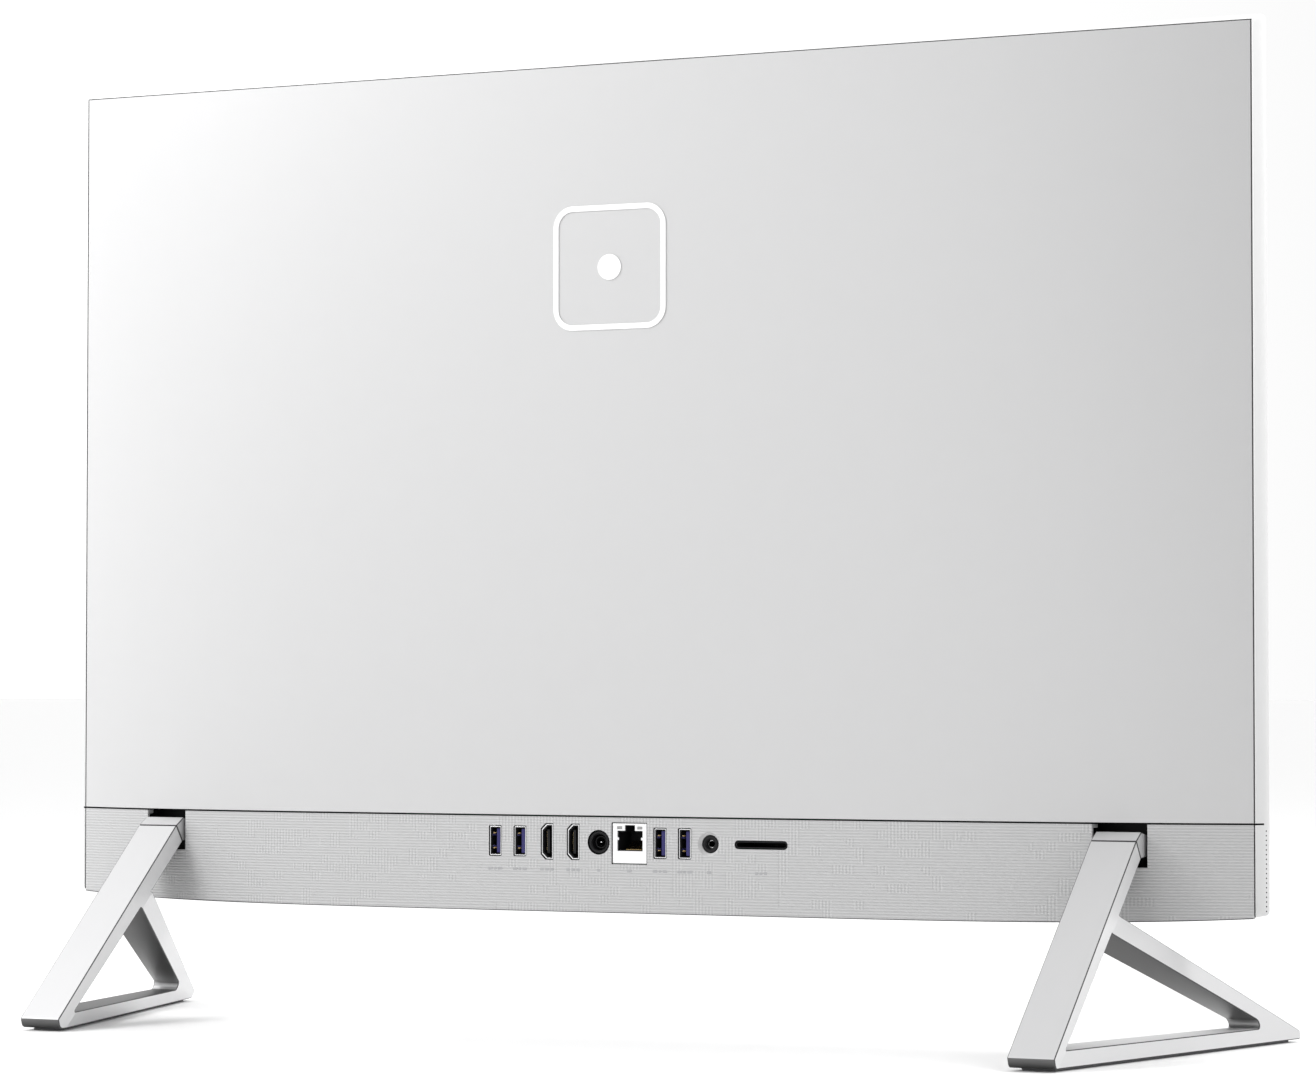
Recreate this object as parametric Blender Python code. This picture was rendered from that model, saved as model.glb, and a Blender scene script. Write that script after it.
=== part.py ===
"""All-in-one desktop computer on two open easel legs, as an assembly of separate parts.

Metres, +Z up. The screen faces -Y and +X is the user's right. The origin is on the desk,
below the middle of the whole object. The display swings on the legs about one level axis.
"""

import math

import bmesh
import bpy
from mathutils import Vector

# Display body
BODY_HALF_WIDTH = 0.3068
COVER_HALF_WIDTH = 0.3020
SEAM_Z = 0.1000
COVER_TOP_Z = 0.4523
COVER_BOTTOM_Z = 0.0588
RIM_RISE = 0.0032
FRONT_Y = -0.0365
RIM_REAR_Y = -0.0287
COVER_EDGE_Y = -0.0285
COVER_FRONT_Y = -0.0300
BULGE = 0.0236
BULGE_POWER = 5.0
TOP_SLOPE = -0.158
BOTTOM_SLOPE = -0.132
WALL = 0.0018
GAP = 0.0003
SEAM_HALF_GAP = 0.0003
COVER_STATIONS = 28

# Front frame and screen stack
RIM_STATIONS = 5
RIM_SIDE_FLARE = 0.0035
RIM_TOP_FLARE = 0.0024
RIM_TIP = 0.0007
RIM_CORNER = 0.0025
FRAME_REAR_Y = -0.0304
GLASS_LOW = (-0.3032, -0.0362, 0.1054)
GLASS_HIGH = (0.3032, -0.0352, 0.4523)
PANEL_LOW = (-0.2994, -0.0347, 0.1106)
PANEL_HIGH = (0.2994, -0.0302, 0.4496)
CHASSIS_LOW = (-0.2960, -0.0299, 0.1050)
CHASSIS_HIGH = (0.2960, -0.0289, 0.4480)
GRILLE_LOW = (-0.3007, -0.0364, 0.0628)
GRILLE_HIGH = (0.3007, -0.0357, 0.0982)

# The finished object moves back by this much, so that the origin lies below the middle of its depth
ORIGIN_SHIFT_Y = 0.0043

# Legs: one outline in the side plane. The rear bar and the neck stand upright; ahead of a crease
# just inside the window the leg leans outward and thins toward its toe.
PIVOT_Y = -0.0246
PIVOT_Z = 0.0900
LEG_WIDTH = 0.0212
LEG_OUTER_X = 0.2562
LEG_OUTER_SPLAY = 0.278
LEG_INNER_SPLAY = 0.332
CREASE_Z = 0.0734
CREASE_SLOPE = 0.806
LEG_EDGE = 0.0006
NECK_REAR = (-0.0055, 0.0925)
NECK_FRONT = (-0.0112, 0.0847)
HEEL = (0.0957, 0.0057)
HEEL_BOTTOM = (0.0941, 0.0013)
TOE_BOTTOM = (-0.1027, 0.0013)
TOE_TOP = (-0.1045, 0.0048)
CROTCH = (0.0165, 0.0617)
CREASE_HEAD = (0.0153, CREASE_Z - CREASE_SLOPE * 0.0153)
CREASE_FOOT = ((CREASE_Z - 0.0013) / CREASE_SLOPE, 0.0013)
WINDOW_TOP = (0.0258, 0.0543)
WINDOW_REAR = (0.0828, 0.0084)
WINDOW_FRONT = (-0.0805, 0.0077)
PAD_THICKNESS = 0.0010
PAD_INSET = 0.0030
PAD_REAR_Y = 0.0880
PAD_FRONT_Y = -0.0975

# Hinges
BLOCK_OUTER_X = LEG_OUTER_X
BLOCK_TOP = (-0.0122, 0.0963)
POCKET_HALF_WIDTH = 0.0121
POCKET_BOTTOM_Z = 0.0807
KNUCKLE_RADIUS = 0.0045
SHAFT_RADIUS = 0.0020
SHAFT_HALF_LENGTH = 0.0185
CHEEK_INNER = 0.0140
CHEEK_OUTER = 0.0165

# Port row, from the user's right to the left as seen from the front
PORT_Z = 0.0881
BOARD_LOW = (-0.1180, -0.0262, 0.0760)
BOARD_HIGH = (0.1180, -0.0246, 0.2160)
PORT_FRONT_Y = -0.0243
PORT_RECESS = 0.0004
PORT_CLEARANCE = 0.0004
USB_X = (0.0596, 0.0466, -0.0259, -0.0384)
USB_HALF = (0.00300, 0.00675)
HDMI_X = (0.0324, 0.0188)
HDMI_HALF = (0.00290, 0.00800)
HDMI_CHAMFER = 0.0024
POWER_X = 0.0056
POWER_RADIUS = 0.0053
ETHERNET_X = -0.0102
ETHERNET_HALF = (0.00870, 0.00920)
ETHERNET_SOCKET = ((-0.0066, 0.0843), (0.0063, 0.0936))
ETHERNET_LATCH = ((-0.0027, 0.0930), (0.0024, 0.0962))
AUDIO_X = -0.0507
AUDIO_RADIUS = 0.0040
CARD_X = -0.0768
CARD_HALF = (0.0128, 0.0016)

# Moving parts inside the display
BLOWER_CENTRE = (0.0800, 0.2850)
BLOWER_HALF = 0.0420
BLOWER_FRONT_Y = -0.0262
BLOWER_REAR_Y = -0.0140
BLADE_COUNT = 20
CAMERA_HALF_WIDTH = 0.0300
CAMERA_FRONT_Y = -0.0283
CAMERA_REAR_Y = -0.0226
CAMERA_TOP_Z = 0.4510
CAMERA_HEIGHT = 0.0510
BUTTON_X = 0.2720
BUTTON_Y = -0.0329
BUTTON_HALF = (0.0050, 0.0015)
BUTTON_BOTTOM_Z = 0.0590
BUTTON_HEIGHT = 0.0060

# Emblem on the rear cover
EMBLEM_Z = 0.3542
EMBLEM_HALF = 0.0290
EMBLEM_LINE = 0.0026
EMBLEM_CORNER = 0.0100
EMBLEM_THICKNESS = 0.0004

# Colour, roughness, metallic
SILVER_PLASTIC = ((0.78, 0.78, 0.79), 0.38, 0.0)
TEXTURED_PLASTIC = ((0.66, 0.66, 0.67), 0.55, 0.0)
ALUMINIUM = ((0.74, 0.75, 0.76), 0.32, 1.0)
STEEL = ((0.45, 0.45, 0.46), 0.40, 1.0)
DARK_PLASTIC = ((0.02, 0.02, 0.022), 0.45, 0.0)
DARK_GLASS = ((0.01, 0.01, 0.012), 0.06, 0.0)
GREY_RUBBER = ((0.30, 0.30, 0.31), 0.85, 0.0)
GREEN_BOARD = ((0.02, 0.10, 0.05), 0.50, 0.0)
COPPER = ((0.72, 0.38, 0.24), 0.30, 1.0)
WHITE_PAINT = ((0.92, 0.92, 0.92), 0.35, 0.0)

materials = {}
world_places = {}


def material(name, look):
    """Return one Principled material for each name."""
    if name not in materials:
        made = bpy.data.materials.new(name)
        made.use_nodes = True
        shader = made.node_tree.nodes["Principled BSDF"]
        colour, roughness, metallic = look
        shader.inputs["Base Color"].default_value = (*colour, 1.0)
        shader.inputs["Roughness"].default_value = roughness
        shader.inputs["Metallic"].default_value = metallic
        materials[name] = made
    return materials[name]


def place(thing, spot, parent=None):
    """Set an object's place in the world, under its parent."""
    world_places[thing.name] = Vector(spot)
    base = world_places[parent.name] if parent else Vector((0.0, 0.0, 0.0))
    thing.parent = parent
    thing.location = Vector(spot) - base


def mesh_object(name, shape, spot):
    """Turn a shape in world coordinates into an object whose origin is at spot."""
    bmesh.ops.recalc_face_normals(shape, faces=shape.faces)
    bmesh.ops.translate(shape, verts=shape.verts, vec=-Vector(spot))
    mesh = bpy.data.meshes.new(name)
    shape.to_mesh(mesh)
    shape.free()
    made = bpy.data.objects.new(name, mesh)
    bpy.context.scene.collection.objects.link(made)
    return made


def node(name, shape, look, parent=None, spot=(0.0, 0.0, 0.0)):
    """Make one named sub-part with its own material."""
    made = mesh_object(name, shape, spot)
    place(made, spot, parent)
    made.data.materials.append(material(name + "_material", look))
    for face in made.data.polygons:
        face.use_smooth = True
    made.data.set_sharp_from_angle(angle=math.radians(30.0))
    return made


def combine(target, shape, operation):
    """Add a Boolean with a hidden helper that rides on its target."""
    spot = world_places[target.name]
    helper = mesh_object(f"{target.name}_{operation.lower()}", shape, spot)
    place(helper, spot, target)
    helper.hide_render = True
    helper.display_type = 'WIRE'
    step = target.modifiers.new(helper.name, 'BOOLEAN')
    step.operation = operation
    step.solver = 'EXACT'
    step.object = helper


def cut(target, *shapes):
    """Take each shape away from the target."""
    for shape in shapes:
        combine(target, shape, 'DIFFERENCE')


def join(target, *shapes):
    """Add each overlapping shape to the target's one body."""
    for shape in shapes:
        combine(target, shape, 'UNION')


def bevel(target, width, segments=1):
    """Soften the sharp edges of a target."""
    step = target.modifiers.new("soft_edges", 'BEVEL')
    step.width = width
    step.segments = segments
    step.limit_method = 'ANGLE'
    step.angle_limit = math.radians(40.0)


def lofted(rings):
    """Skin a row of closed rings that have the same number of points."""
    shape = bmesh.new()
    rows = [[shape.verts.new(point) for point in ring] for ring in rings]
    count = len(rows[0])
    for near, far in zip(rows, rows[1:]):
        for i in range(count):
            j = (i + 1) % count
            shape.faces.new((near[i], near[j], far[j], far[i]))
    shape.faces.new(rows[0])
    shape.faces.new(rows[-1])
    return shape


def prism(points, axis, low, high):
    """Extrude an outline along X, Y or Z between two levels."""
    order = {'X': lambda a, b, c: (c, a, b), 'Y': lambda a, b, c: (a, c, b), 'Z': lambda a, b, c: (a, b, c)}
    spot = order[axis]
    return lofted([[spot(a, b, level) for a, b in points] for level in (low, high)])


def box(low, high):
    """Make a box from its two opposite corners."""
    corners = [(low[0], low[1]), (high[0], low[1]), (high[0], high[1]), (low[0], high[1])]
    return prism(corners, 'Z', low[2], high[2])


def circle(centre, radius, sides=24):
    """Return the points of a round outline."""
    turns = [math.tau * i / sides for i in range(sides)]
    return [(centre[0] + radius * math.cos(t), centre[1] + radius * math.sin(t)) for t in turns]


def cylinder(centre, radius, axis, low, high, sides=24):
    """Make a round bar along an axis."""
    return prism(circle(centre, radius, sides), axis, low, high)


def rounded(points, radii, steps=4):
    """Round each corner of an outline with an arc of its own radius."""
    outline = []
    for i, (point, radius) in enumerate(zip(points, radii)):
        corner = Vector(point)
        before = (Vector(points[i - 1]) - corner).normalized()
        after = (Vector(points[(i + 1) % len(points)]) - corner).normalized()
        half = before.angle(after) / 2.0
        if radius == 0.0:
            outline.append(point)
            continue
        centre = corner + (before + after).normalized() * radius / math.sin(half)
        start = (corner + before * radius / math.tan(half) - centre).normalized()
        finish = (corner + after * radius / math.tan(half) - centre).normalized()
        for k in range(steps + 1):
            outline.append(tuple(centre + start.slerp(finish, k / steps) * radius))
    return outline


def rectangle(half_width, half_height, centre=(0.0, 0.0)):
    """Return a rectangle's four corners, in order."""
    x, z = centre
    return [(x - half_width, z - half_height), (x + half_width, z - half_height),
            (x + half_width, z + half_height), (x - half_width, z + half_height)]


def rounded_rectangle(half_width, half_height, radius, centre=(0.0, 0.0), steps=4):
    """Return a rectangle with four equal round corners."""
    return rounded(rectangle(half_width, half_height, centre), [radius] * 4, steps)


def rear_y(x):
    """Return where the bulged rear surface is at x."""
    share = min(abs(x) / COVER_HALF_WIDTH, 1.0)
    return COVER_EDGE_Y + BULGE * (1.0 - share ** BULGE_POWER)


def bulged_solid(half_width, front_y, inset, low, high):
    """Make a solid behind front_y with the bulged rear face; low and high are (z, slope) pairs."""
    def level(pair, y):
        return pair[0] + pair[1] * (y - COVER_EDGE_Y)

    rings = []
    for i in range(COVER_STATIONS + 1):
        x = half_width * math.sin(math.pi * (i / COVER_STATIONS - 0.5))
        back = rear_y(x) - inset
        rings.append([(x, front_y, level(low, front_y)), (x, back, level(low, back)),
                      (x, back, level(high, back)), (x, front_y, level(high, front_y))])
    return lofted(rings)


def leg_lean(y, z):
    """Return how far ahead of the crease a point of a leg lies."""
    return max(0.0, CREASE_Z - CREASE_SLOPE * y - z)


def leg_solid(points, side, inset):
    """Extrude a side outline across a leg, keeping inset from both of its faces."""
    outer = []
    inner = []
    for y, z in points:
        lean = leg_lean(y, z)
        outer.append((side * (LEG_OUTER_X + LEG_OUTER_SPLAY * lean - inset), y, z))
        inner.append((side * (LEG_OUTER_X - LEG_WIDTH + LEG_INNER_SPLAY * lean + inset), y, z))
    shape = lofted([outer, inner])
    if CREASE_HEAD in points and CREASE_FOOT in points:
        shape.verts.ensure_lookup_table()
        shape.faces.ensure_lookup_table()
        ends = (points.index(CREASE_HEAD), points.index(CREASE_FOOT))
        for cap, first in ((shape.faces[-2], 0), (shape.faces[-1], len(points))):
            bmesh.utils.face_split(cap, shape.verts[first + ends[0]], shape.verts[first + ends[1]])
    return shape


def build_leg(name, side, pad_name):
    """Build one open triangular leg and the rubber strip below it."""
    outline = rounded(
        [NECK_REAR, HEEL, HEEL_BOTTOM, CREASE_FOOT, TOE_BOTTOM, TOE_TOP, CREASE_HEAD, CROTCH, NECK_FRONT],
        [0.0, 0.0010, 0.0028, 0.0, 0.0014, 0.0012, 0.0, 0.0, 0.0], 4)
    window = rounded([WINDOW_TOP, WINDOW_REAR, WINDOW_FRONT], [0.0005, 0.0004, 0.0022], 3)
    leg = node(name, leg_solid(outline, side, 0.0), ALUMINIUM)
    cut(leg, leg_solid(window, side, -0.002))
    bevel(leg, LEG_EDGE, 2)
    strip = [(PAD_FRONT_Y, 0.0), (PAD_REAR_Y, 0.0), (PAD_REAR_Y, PAD_THICKNESS), (PAD_FRONT_Y, PAD_THICKNESS)]
    node(pad_name, leg_solid(strip, side, PAD_INSET), GREY_RUBBER)


def build_hinge(side, label, display):
    """Build one hinge: block and shaft on the leg, bracket on the display."""
    middle = side * (BLOCK_OUTER_X - LEG_WIDTH / 2.0)
    half = LEG_WIDTH / 2.0
    neck_gap = Vector((NECK_FRONT[1] - NECK_REAR[1], NECK_REAR[0] - NECK_FRONT[0])).normalized() * GAP
    rear = (NECK_REAR[0] + neck_gap.x, NECK_REAR[1] + neck_gap.y)
    front = (NECK_FRONT[0] + neck_gap.x, NECK_FRONT[1] + neck_gap.y)
    knuckle = [(PIVOT_Y + KNUCKLE_RADIUS * math.cos(t), PIVOT_Z + KNUCKLE_RADIUS * math.sin(t))
               for t in [math.radians(90.0 + 15.0 * k) for k in range(13)]]
    outline = knuckle + [front, rear, BLOCK_TOP]
    block = node(f"hinge_block_{label}", prism(outline, 'X', middle - half, middle + half), ALUMINIUM)
    cut(block, cylinder((PIVOT_Y, PIVOT_Z), SHAFT_RADIUS + GAP, 'X', middle - 0.02, middle + 0.02))
    bevel(block, 0.0004, 1)
    node(f"hinge_shaft_{label}", cylinder((PIVOT_Y, PIVOT_Z), SHAFT_RADIUS, 'X',
                                          middle - SHAFT_HALF_LENGTH, middle + SHAFT_HALF_LENGTH), STEEL)
    plate = box((middle - CHEEK_OUTER, -0.0286, 0.1010), (middle + CHEEK_OUTER, -0.0274, 0.1350))
    bracket = node(f"hinge_bracket_{label}", plate, STEEL, display)
    for low, high in ((-CHEEK_OUTER, -CHEEK_INNER), (CHEEK_INNER, CHEEK_OUTER)):
        cheek = rounded([(-0.0286, 0.1060), (-0.0286, 0.0850), (-0.0210, 0.0850), (-0.0210, 0.0960)],
                        [0.0, 0.001, 0.002, 0.0])
        join(bracket, prism(cheek, 'X', middle + low, middle + high))
    cut(bracket, cylinder((PIVOT_Y, PIVOT_Z), SHAFT_RADIUS + GAP, 'X', middle - 0.03, middle + 0.03))


def build_front_frame(display):
    """Build the rim and lower front bar, open behind the glass."""
    rings = []
    for i in range(RIM_STATIONS + 1):
        share = i / RIM_STATIONS
        swell = math.sin(share * math.pi / 2.0)
        y = RIM_REAR_Y + (FRONT_Y + 0.0008 - RIM_REAR_Y) * share
        rings.append(rim_ring(y, swell, 0.0))
    rings.append(rim_ring(FRONT_Y, 1.0, 0.0006))
    frame = node("front_frame", lofted(rings), SILVER_PLASTIC, display)
    seat = 0.0004
    glass_low = (GLASS_LOW[0] - seat, FRONT_Y - 0.002, GLASS_LOW[2] - seat)
    glass_high = (GLASS_HIGH[0] + seat, GLASS_HIGH[1] + GAP, GLASS_HIGH[2] + seat)
    window_low = (PANEL_LOW[0] - seat, FRONT_Y - 0.001, PANEL_LOW[2] - seat)
    window_high = (PANEL_HIGH[0] + seat, RIM_REAR_Y + 0.002, PANEL_HIGH[2] + seat)
    rebate_half = BODY_HALF_WIDTH - RIM_SIDE_FLARE - RIM_TIP
    rebate_top = COVER_TOP_Z + RIM_RISE - RIM_TOP_FLARE - RIM_TIP / 2.0
    rebate = box((-rebate_half, FRAME_REAR_Y, 0.04), (rebate_half, RIM_REAR_Y + 0.002, rebate_top))
    grille_low = (GRILLE_LOW[0] - GAP, FRONT_Y - 0.002, GRILLE_LOW[2] - GAP)
    grille_high = (GRILLE_HIGH[0] + GAP, GRILLE_HIGH[1] + GAP, GRILLE_HIGH[2] + GAP)
    cut(frame, box(glass_low, glass_high), box(window_low, window_high), rebate, box(grille_low, grille_high))
    for side in (-1.0, 1.0):
        ends = sorted((side * 0.1280, side * 0.2120))
        cut(frame, box((ends[0], FRONT_Y - 0.001, 0.0670), (ends[1], RIM_REAR_Y, 0.0930)))
    hole = rounded_rectangle(BUTTON_HALF[0] + GAP, BUTTON_HALF[1] + GAP, BUTTON_HALF[1], (BUTTON_X, BUTTON_Y))
    cut(frame, prism(hole, 'Z', 0.05, BUTTON_BOTTOM_Z + BUTTON_HEIGHT + 0.0012))


def rim_ring(y, swell, inset):
    """Return the frame's outline at one depth; it swells from the covers to the front."""
    half = BODY_HALF_WIDTH - RIM_SIDE_FLARE * (1.0 - swell) - inset
    top = COVER_TOP_Z + RIM_RISE - RIM_TOP_FLARE * (1.0 - swell) - inset
    bottom = COVER_BOTTOM_Z + 0.0004 + 0.0006 * swell + inset
    points = rounded_rectangle(half, (top - bottom) / 2.0, RIM_CORNER, (0.0, (top + bottom) / 2.0))
    return [(x, y, z) for x, z in points]


def build_screen(display):
    """Build the glass, the panel behind it, the steel chassis and the fabric grille."""
    node("cover_glass", box(GLASS_LOW, GLASS_HIGH), DARK_GLASS, display)
    node("display_panel", box(PANEL_LOW, PANEL_HIGH), DARK_PLASTIC, display)
    node("chassis_plate", box(CHASSIS_LOW, CHASSIS_HIGH), STEEL, display)
    node("speaker_grille", box(GRILLE_LOW, GRILLE_HIGH), TEXTURED_PLASTIC, display)


def build_rear_cover(display):
    """Build the smooth upper cover, hollow and open toward the screen."""
    low = (SEAM_Z + SEAM_HALF_GAP, 0.0)
    outer = bulged_solid(COVER_HALF_WIDTH, COVER_FRONT_Y, 0.0, low, (COVER_TOP_Z, TOP_SLOPE))
    inner = bulged_solid(COVER_HALF_WIDTH - 0.0045, COVER_FRONT_Y - 0.001, WALL,
                         (SEAM_Z - 0.01, 0.0), (COVER_TOP_Z - WALL, TOP_SLOPE))
    cover = node("rear_cover", outer, SILVER_PLASTIC, display)
    slot = box((-CAMERA_HALF_WIDTH - 0.0005, CAMERA_FRONT_Y - GAP, 0.43),
               (CAMERA_HALF_WIDTH + 0.0005, CAMERA_REAR_Y + GAP, 0.47))
    cut(cover, inner, slot)


def port_outlines(extra):
    """Return the name and outline of each port, grown by extra on every side."""
    outlines = []
    for number, x in enumerate(USB_X, 1):
        outlines.append((f"usb_port_{number}", x, rounded_rectangle(
            USB_HALF[0] + extra, USB_HALF[1] + extra, 0.0006, (x, PORT_Z), 2)))
    for number, x in enumerate(HDMI_X, 1):
        half_x, half_z = HDMI_HALF[0] + extra, HDMI_HALF[1] + extra
        outlines.append((f"hdmi_port_{number}", x, [
            (x - half_x, PORT_Z - half_z), (x + half_x - HDMI_CHAMFER, PORT_Z - half_z),
            (x + half_x, PORT_Z - half_z + HDMI_CHAMFER), (x + half_x, PORT_Z + half_z - HDMI_CHAMFER),
            (x + half_x - HDMI_CHAMFER, PORT_Z + half_z), (x - half_x, PORT_Z + half_z)]))
    outlines.append(("power_inlet", POWER_X, circle((POWER_X, PORT_Z), POWER_RADIUS + extra)))
    outlines.append(("ethernet_port", ETHERNET_X, rectangle(
        ETHERNET_HALF[0] + extra, ETHERNET_HALF[1] + extra, (ETHERNET_X, PORT_Z - 0.0003))))
    outlines.append(("audio_jack", AUDIO_X, circle((AUDIO_X, PORT_Z), AUDIO_RADIUS + extra)))
    outlines.append(("sd_card_slot", CARD_X, rounded_rectangle(
        CARD_HALF[0] + extra, CARD_HALF[1] + extra, CARD_HALF[1] - 0.0002, (CARD_X, PORT_Z))))
    return outlines


def build_lower_cover(display):
    """Build the textured lower cover with its hinge pockets, port openings and top lip."""
    high = (SEAM_Z - SEAM_HALF_GAP, 0.0)
    outer = bulged_solid(COVER_HALF_WIDTH, COVER_FRONT_Y, 0.0, (COVER_BOTTOM_Z, BOTTOM_SLOPE), high)
    room = bulged_solid(COVER_HALF_WIDTH - 0.0045, COVER_FRONT_Y - 0.001, WALL,
                        (COVER_BOTTOM_Z + WALL, BOTTOM_SLOPE), (SEAM_Z - 0.0020, 0.0))
    lip_room = bulged_solid(0.2700, COVER_FRONT_Y - 0.001, 0.0075, (0.09, 0.0), (SEAM_Z + 0.01, 0.0))
    cover = node("lower_rear_cover", outer, TEXTURED_PLASTIC, display)
    cut(cover, room, lip_room)
    for side in (-1.0, 1.0):
        middle = side * (BLOCK_OUTER_X - LEG_WIDTH / 2.0)
        pocket_low = (middle - POCKET_HALF_WIDTH, COVER_FRONT_Y - 0.001, POCKET_BOTTOM_Z)
        cut(cover, box(pocket_low, (middle + POCKET_HALF_WIDTH, 0.0, SEAM_Z + 0.01)))
        lip_low = (middle - CHEEK_OUTER - 0.001, COVER_FRONT_Y - 0.001, SEAM_Z - 0.0025)
        cut(cover, box(lip_low, (middle + CHEEK_OUTER + 0.001, -0.0207, SEAM_Z + 0.01)))
    for _, _, outline in port_outlines(PORT_CLEARANCE):
        cut(cover, prism(outline, 'Y', -0.0180, 0.0))


def socket(port, points, back_y, depth):
    """Cut a socket of the given depth into a port's rear face."""
    cut(port, prism(points, 'Y', back_y - depth, back_y + 0.002))


def build_ports(display):
    """Build each connector as one shell with its tongue or pin."""
    for name, x, outline in port_outlines(0.0):
        back = rear_y(abs(x) + 0.013) - PORT_RECESS
        look = DARK_PLASTIC if name in ("power_inlet", "audio_jack", "sd_card_slot") else STEEL
        port = node(name, prism(outline, 'Y', PORT_FRONT_Y, back), look, display)
        if name.startswith("usb"):
            socket(port, rectangle(0.00245, 0.00620, (x, PORT_Z)), back, 0.0120)
            join(port, box((x - 0.0020, back - 0.0130, PORT_Z - 0.0054),
                           (x - 0.0001, back - 0.0008, PORT_Z + 0.0054)))
        elif name.startswith("hdmi"):
            socket(port, rectangle(0.00225, 0.00610, (x, PORT_Z)), back, 0.0110)
            join(port, box((x - 0.0006, back - 0.0120, PORT_Z - 0.0052),
                           (x + 0.0006, back - 0.0010, PORT_Z + 0.0052)))
        elif name == "power_inlet":
            socket(port, circle((x, PORT_Z), 0.0037), back, 0.0100)
            join(port, cylinder((x, PORT_Z), 0.0006, 'Y', back - 0.0110, back - 0.0020, 12))
        elif name == "ethernet_port":
            for (x_low, z_low), (x_high, z_high) in (ETHERNET_SOCKET, ETHERNET_LATCH):
                cut(port, box((x + x_low, back - 0.0140, z_low), (x + x_high, back + 0.002, z_high)))
        elif name == "audio_jack":
            socket(port, circle((x, PORT_Z), 0.00180, 16), back, 0.0140)
        else:
            socket(port, rectangle(CARD_HALF[0] - 0.0008, CARD_HALF[1] - 0.0004, (x, PORT_Z)), back, 0.0160)


def build_board(display):
    """Build the main board, its screws and what is plugged into it."""
    board = node("motherboard", box(BOARD_LOW, BOARD_HIGH), GREEN_BOARD, display)
    inset = 0.0060
    spots = [(x, z) for x in (BOARD_LOW[0] + inset, BOARD_HIGH[0] - inset)
             for z in (BOARD_LOW[2] + 0.0350, BOARD_HIGH[2] - inset)]
    for number, spot in enumerate(spots, 1):
        cut(board, cylinder(spot, 0.0017, 'Y', -0.028, -0.022, 16))
        head = cylinder(spot, 0.0028, 'Y', -0.0243, -0.0225, 16)
        screw = node(f"board_screw_{number}", head, STEEL, display)
        join(screw, cylinder(spot, 0.0013, 'Y', -0.0286, -0.0235, 12))
    node("processor", box((-0.0790, -0.0243, 0.1510), (-0.0410, -0.0223, 0.1890)), STEEL, display)
    heat_sink = node("heat_sink", box((-0.0880, -0.0220, 0.1420), (-0.0320, -0.0140, 0.1980)),
                     ALUMINIUM, display)
    for i in range(7):
        x = -0.0820 + 0.0072 * i
        if abs(x + 0.0600) > 0.004:
            cut(heat_sink, box((x - 0.0018, -0.0190, 0.14), (x + 0.0018, -0.0130, 0.20)))
    for number, low_z in enumerate((0.1080, 0.1420), 1):
        node(f"memory_module_{number}", box((0.0250, -0.0243, low_z), (0.0946, -0.0205, low_z + 0.0300)),
             DARK_PLASTIC, display)
    node("ssd", box((-0.1080, -0.0243, 0.1120), (-0.0280, -0.0212, 0.1340)), DARK_PLASTIC, display)
    node("wireless_card", box((0.0300, -0.0243, 0.1850), (0.0600, -0.0218, 0.2070)), STEEL, display)


def heat_pipe_curve(display):
    """Bend one copper pipe from the heat sink up and across to the fins."""
    radius, bend = 0.0015, 0.0120
    x_start, z_start, z_run, x_end = -0.0600, 0.1450, 0.3372, 0.1160
    y = -0.0122
    points = [(x_start, z_start), (x_start, z_run - bend)]
    for k in range(1, 7):
        turn = math.radians(15.0 * k)
        points.append((x_start + bend * (1.0 - math.cos(turn)), z_run - bend + bend * math.sin(turn)))
    points.append((x_end, z_run))
    curve = bpy.data.curves.new("heat_pipe", 'CURVE')
    curve.dimensions = '3D'
    curve.bevel_depth = radius
    curve.bevel_resolution = 2
    curve.use_fill_caps = True
    line = curve.splines.new('POLY')
    line.points.add(len(points) - 1)
    for point, (x, z) in zip(line.points, points):
        point.co = (x, y, z, 1.0)
    pipe = bpy.data.objects.new("heat_pipe", curve)
    bpy.context.scene.collection.objects.link(pipe)
    curve.materials.append(material("heat_pipe_material", COPPER))
    place(pipe, (0.0, 0.0, 0.0), display)


def build_cooling(display):
    """Build the blower, its impeller, the fins above it and the heat pipe."""
    x, z = BLOWER_CENTRE
    case = box((x - BLOWER_HALF, BLOWER_FRONT_Y, z - BLOWER_HALF),
               (x + BLOWER_HALF, BLOWER_REAR_Y, z + BLOWER_HALF))
    housing = node("blower_housing", case, DARK_PLASTIC, display)
    floor_y = BLOWER_FRONT_Y + 0.0012
    cut(housing, cylinder((x, z), 0.0385, 'Y', floor_y, 0.0, 40),
        box((x - 0.0100, floor_y, z), (x + 0.0360, BLOWER_REAR_Y - 0.0012, z + 0.05)))
    join(housing, cylinder((x, z), 0.0040, 'Y', floor_y - 0.0006, floor_y + 0.0070, 16))
    blades = []
    for k in range(BLADE_COUNT):
        turn = math.tau * k / BLADE_COUNT
        for lean, radius in ((-0.045, 0.0200), (0.045, 0.0200), (0.180, 0.0350), (0.130, 0.0350)):
            blades.append((turn + lean, radius))
    ordered = []
    for k in range(BLADE_COUNT):
        a, b, c, d = blades[4 * k:4 * k + 4]
        ordered.extend([a, d, c, b])
    outline = [(x + r * math.cos(t), z + r * math.sin(t)) for t, r in ordered]
    impeller = node("blower_impeller", prism(outline, 'Y', -0.0240, -0.0160), DARK_PLASTIC, display,
                    (x, -0.0200, z))
    cut(impeller, cylinder((x, z), 0.0043, 'Y', -0.0250, -0.0170, 16))
    stack = box((x - 0.0360, BLOWER_FRONT_Y, z + 0.0450), (x + 0.0360, -0.0140, z + 0.0600))
    fins = node("heat_sink_fins", stack, ALUMINIUM, display)
    for k in range(9):
        left = x - 0.0345 + 0.0077 * k
        cut(fins, box((left, -0.0250, z + 0.04), (left + 0.0062, -0.0152, z + 0.07)))
    heat_pipe_curve(display)


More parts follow.
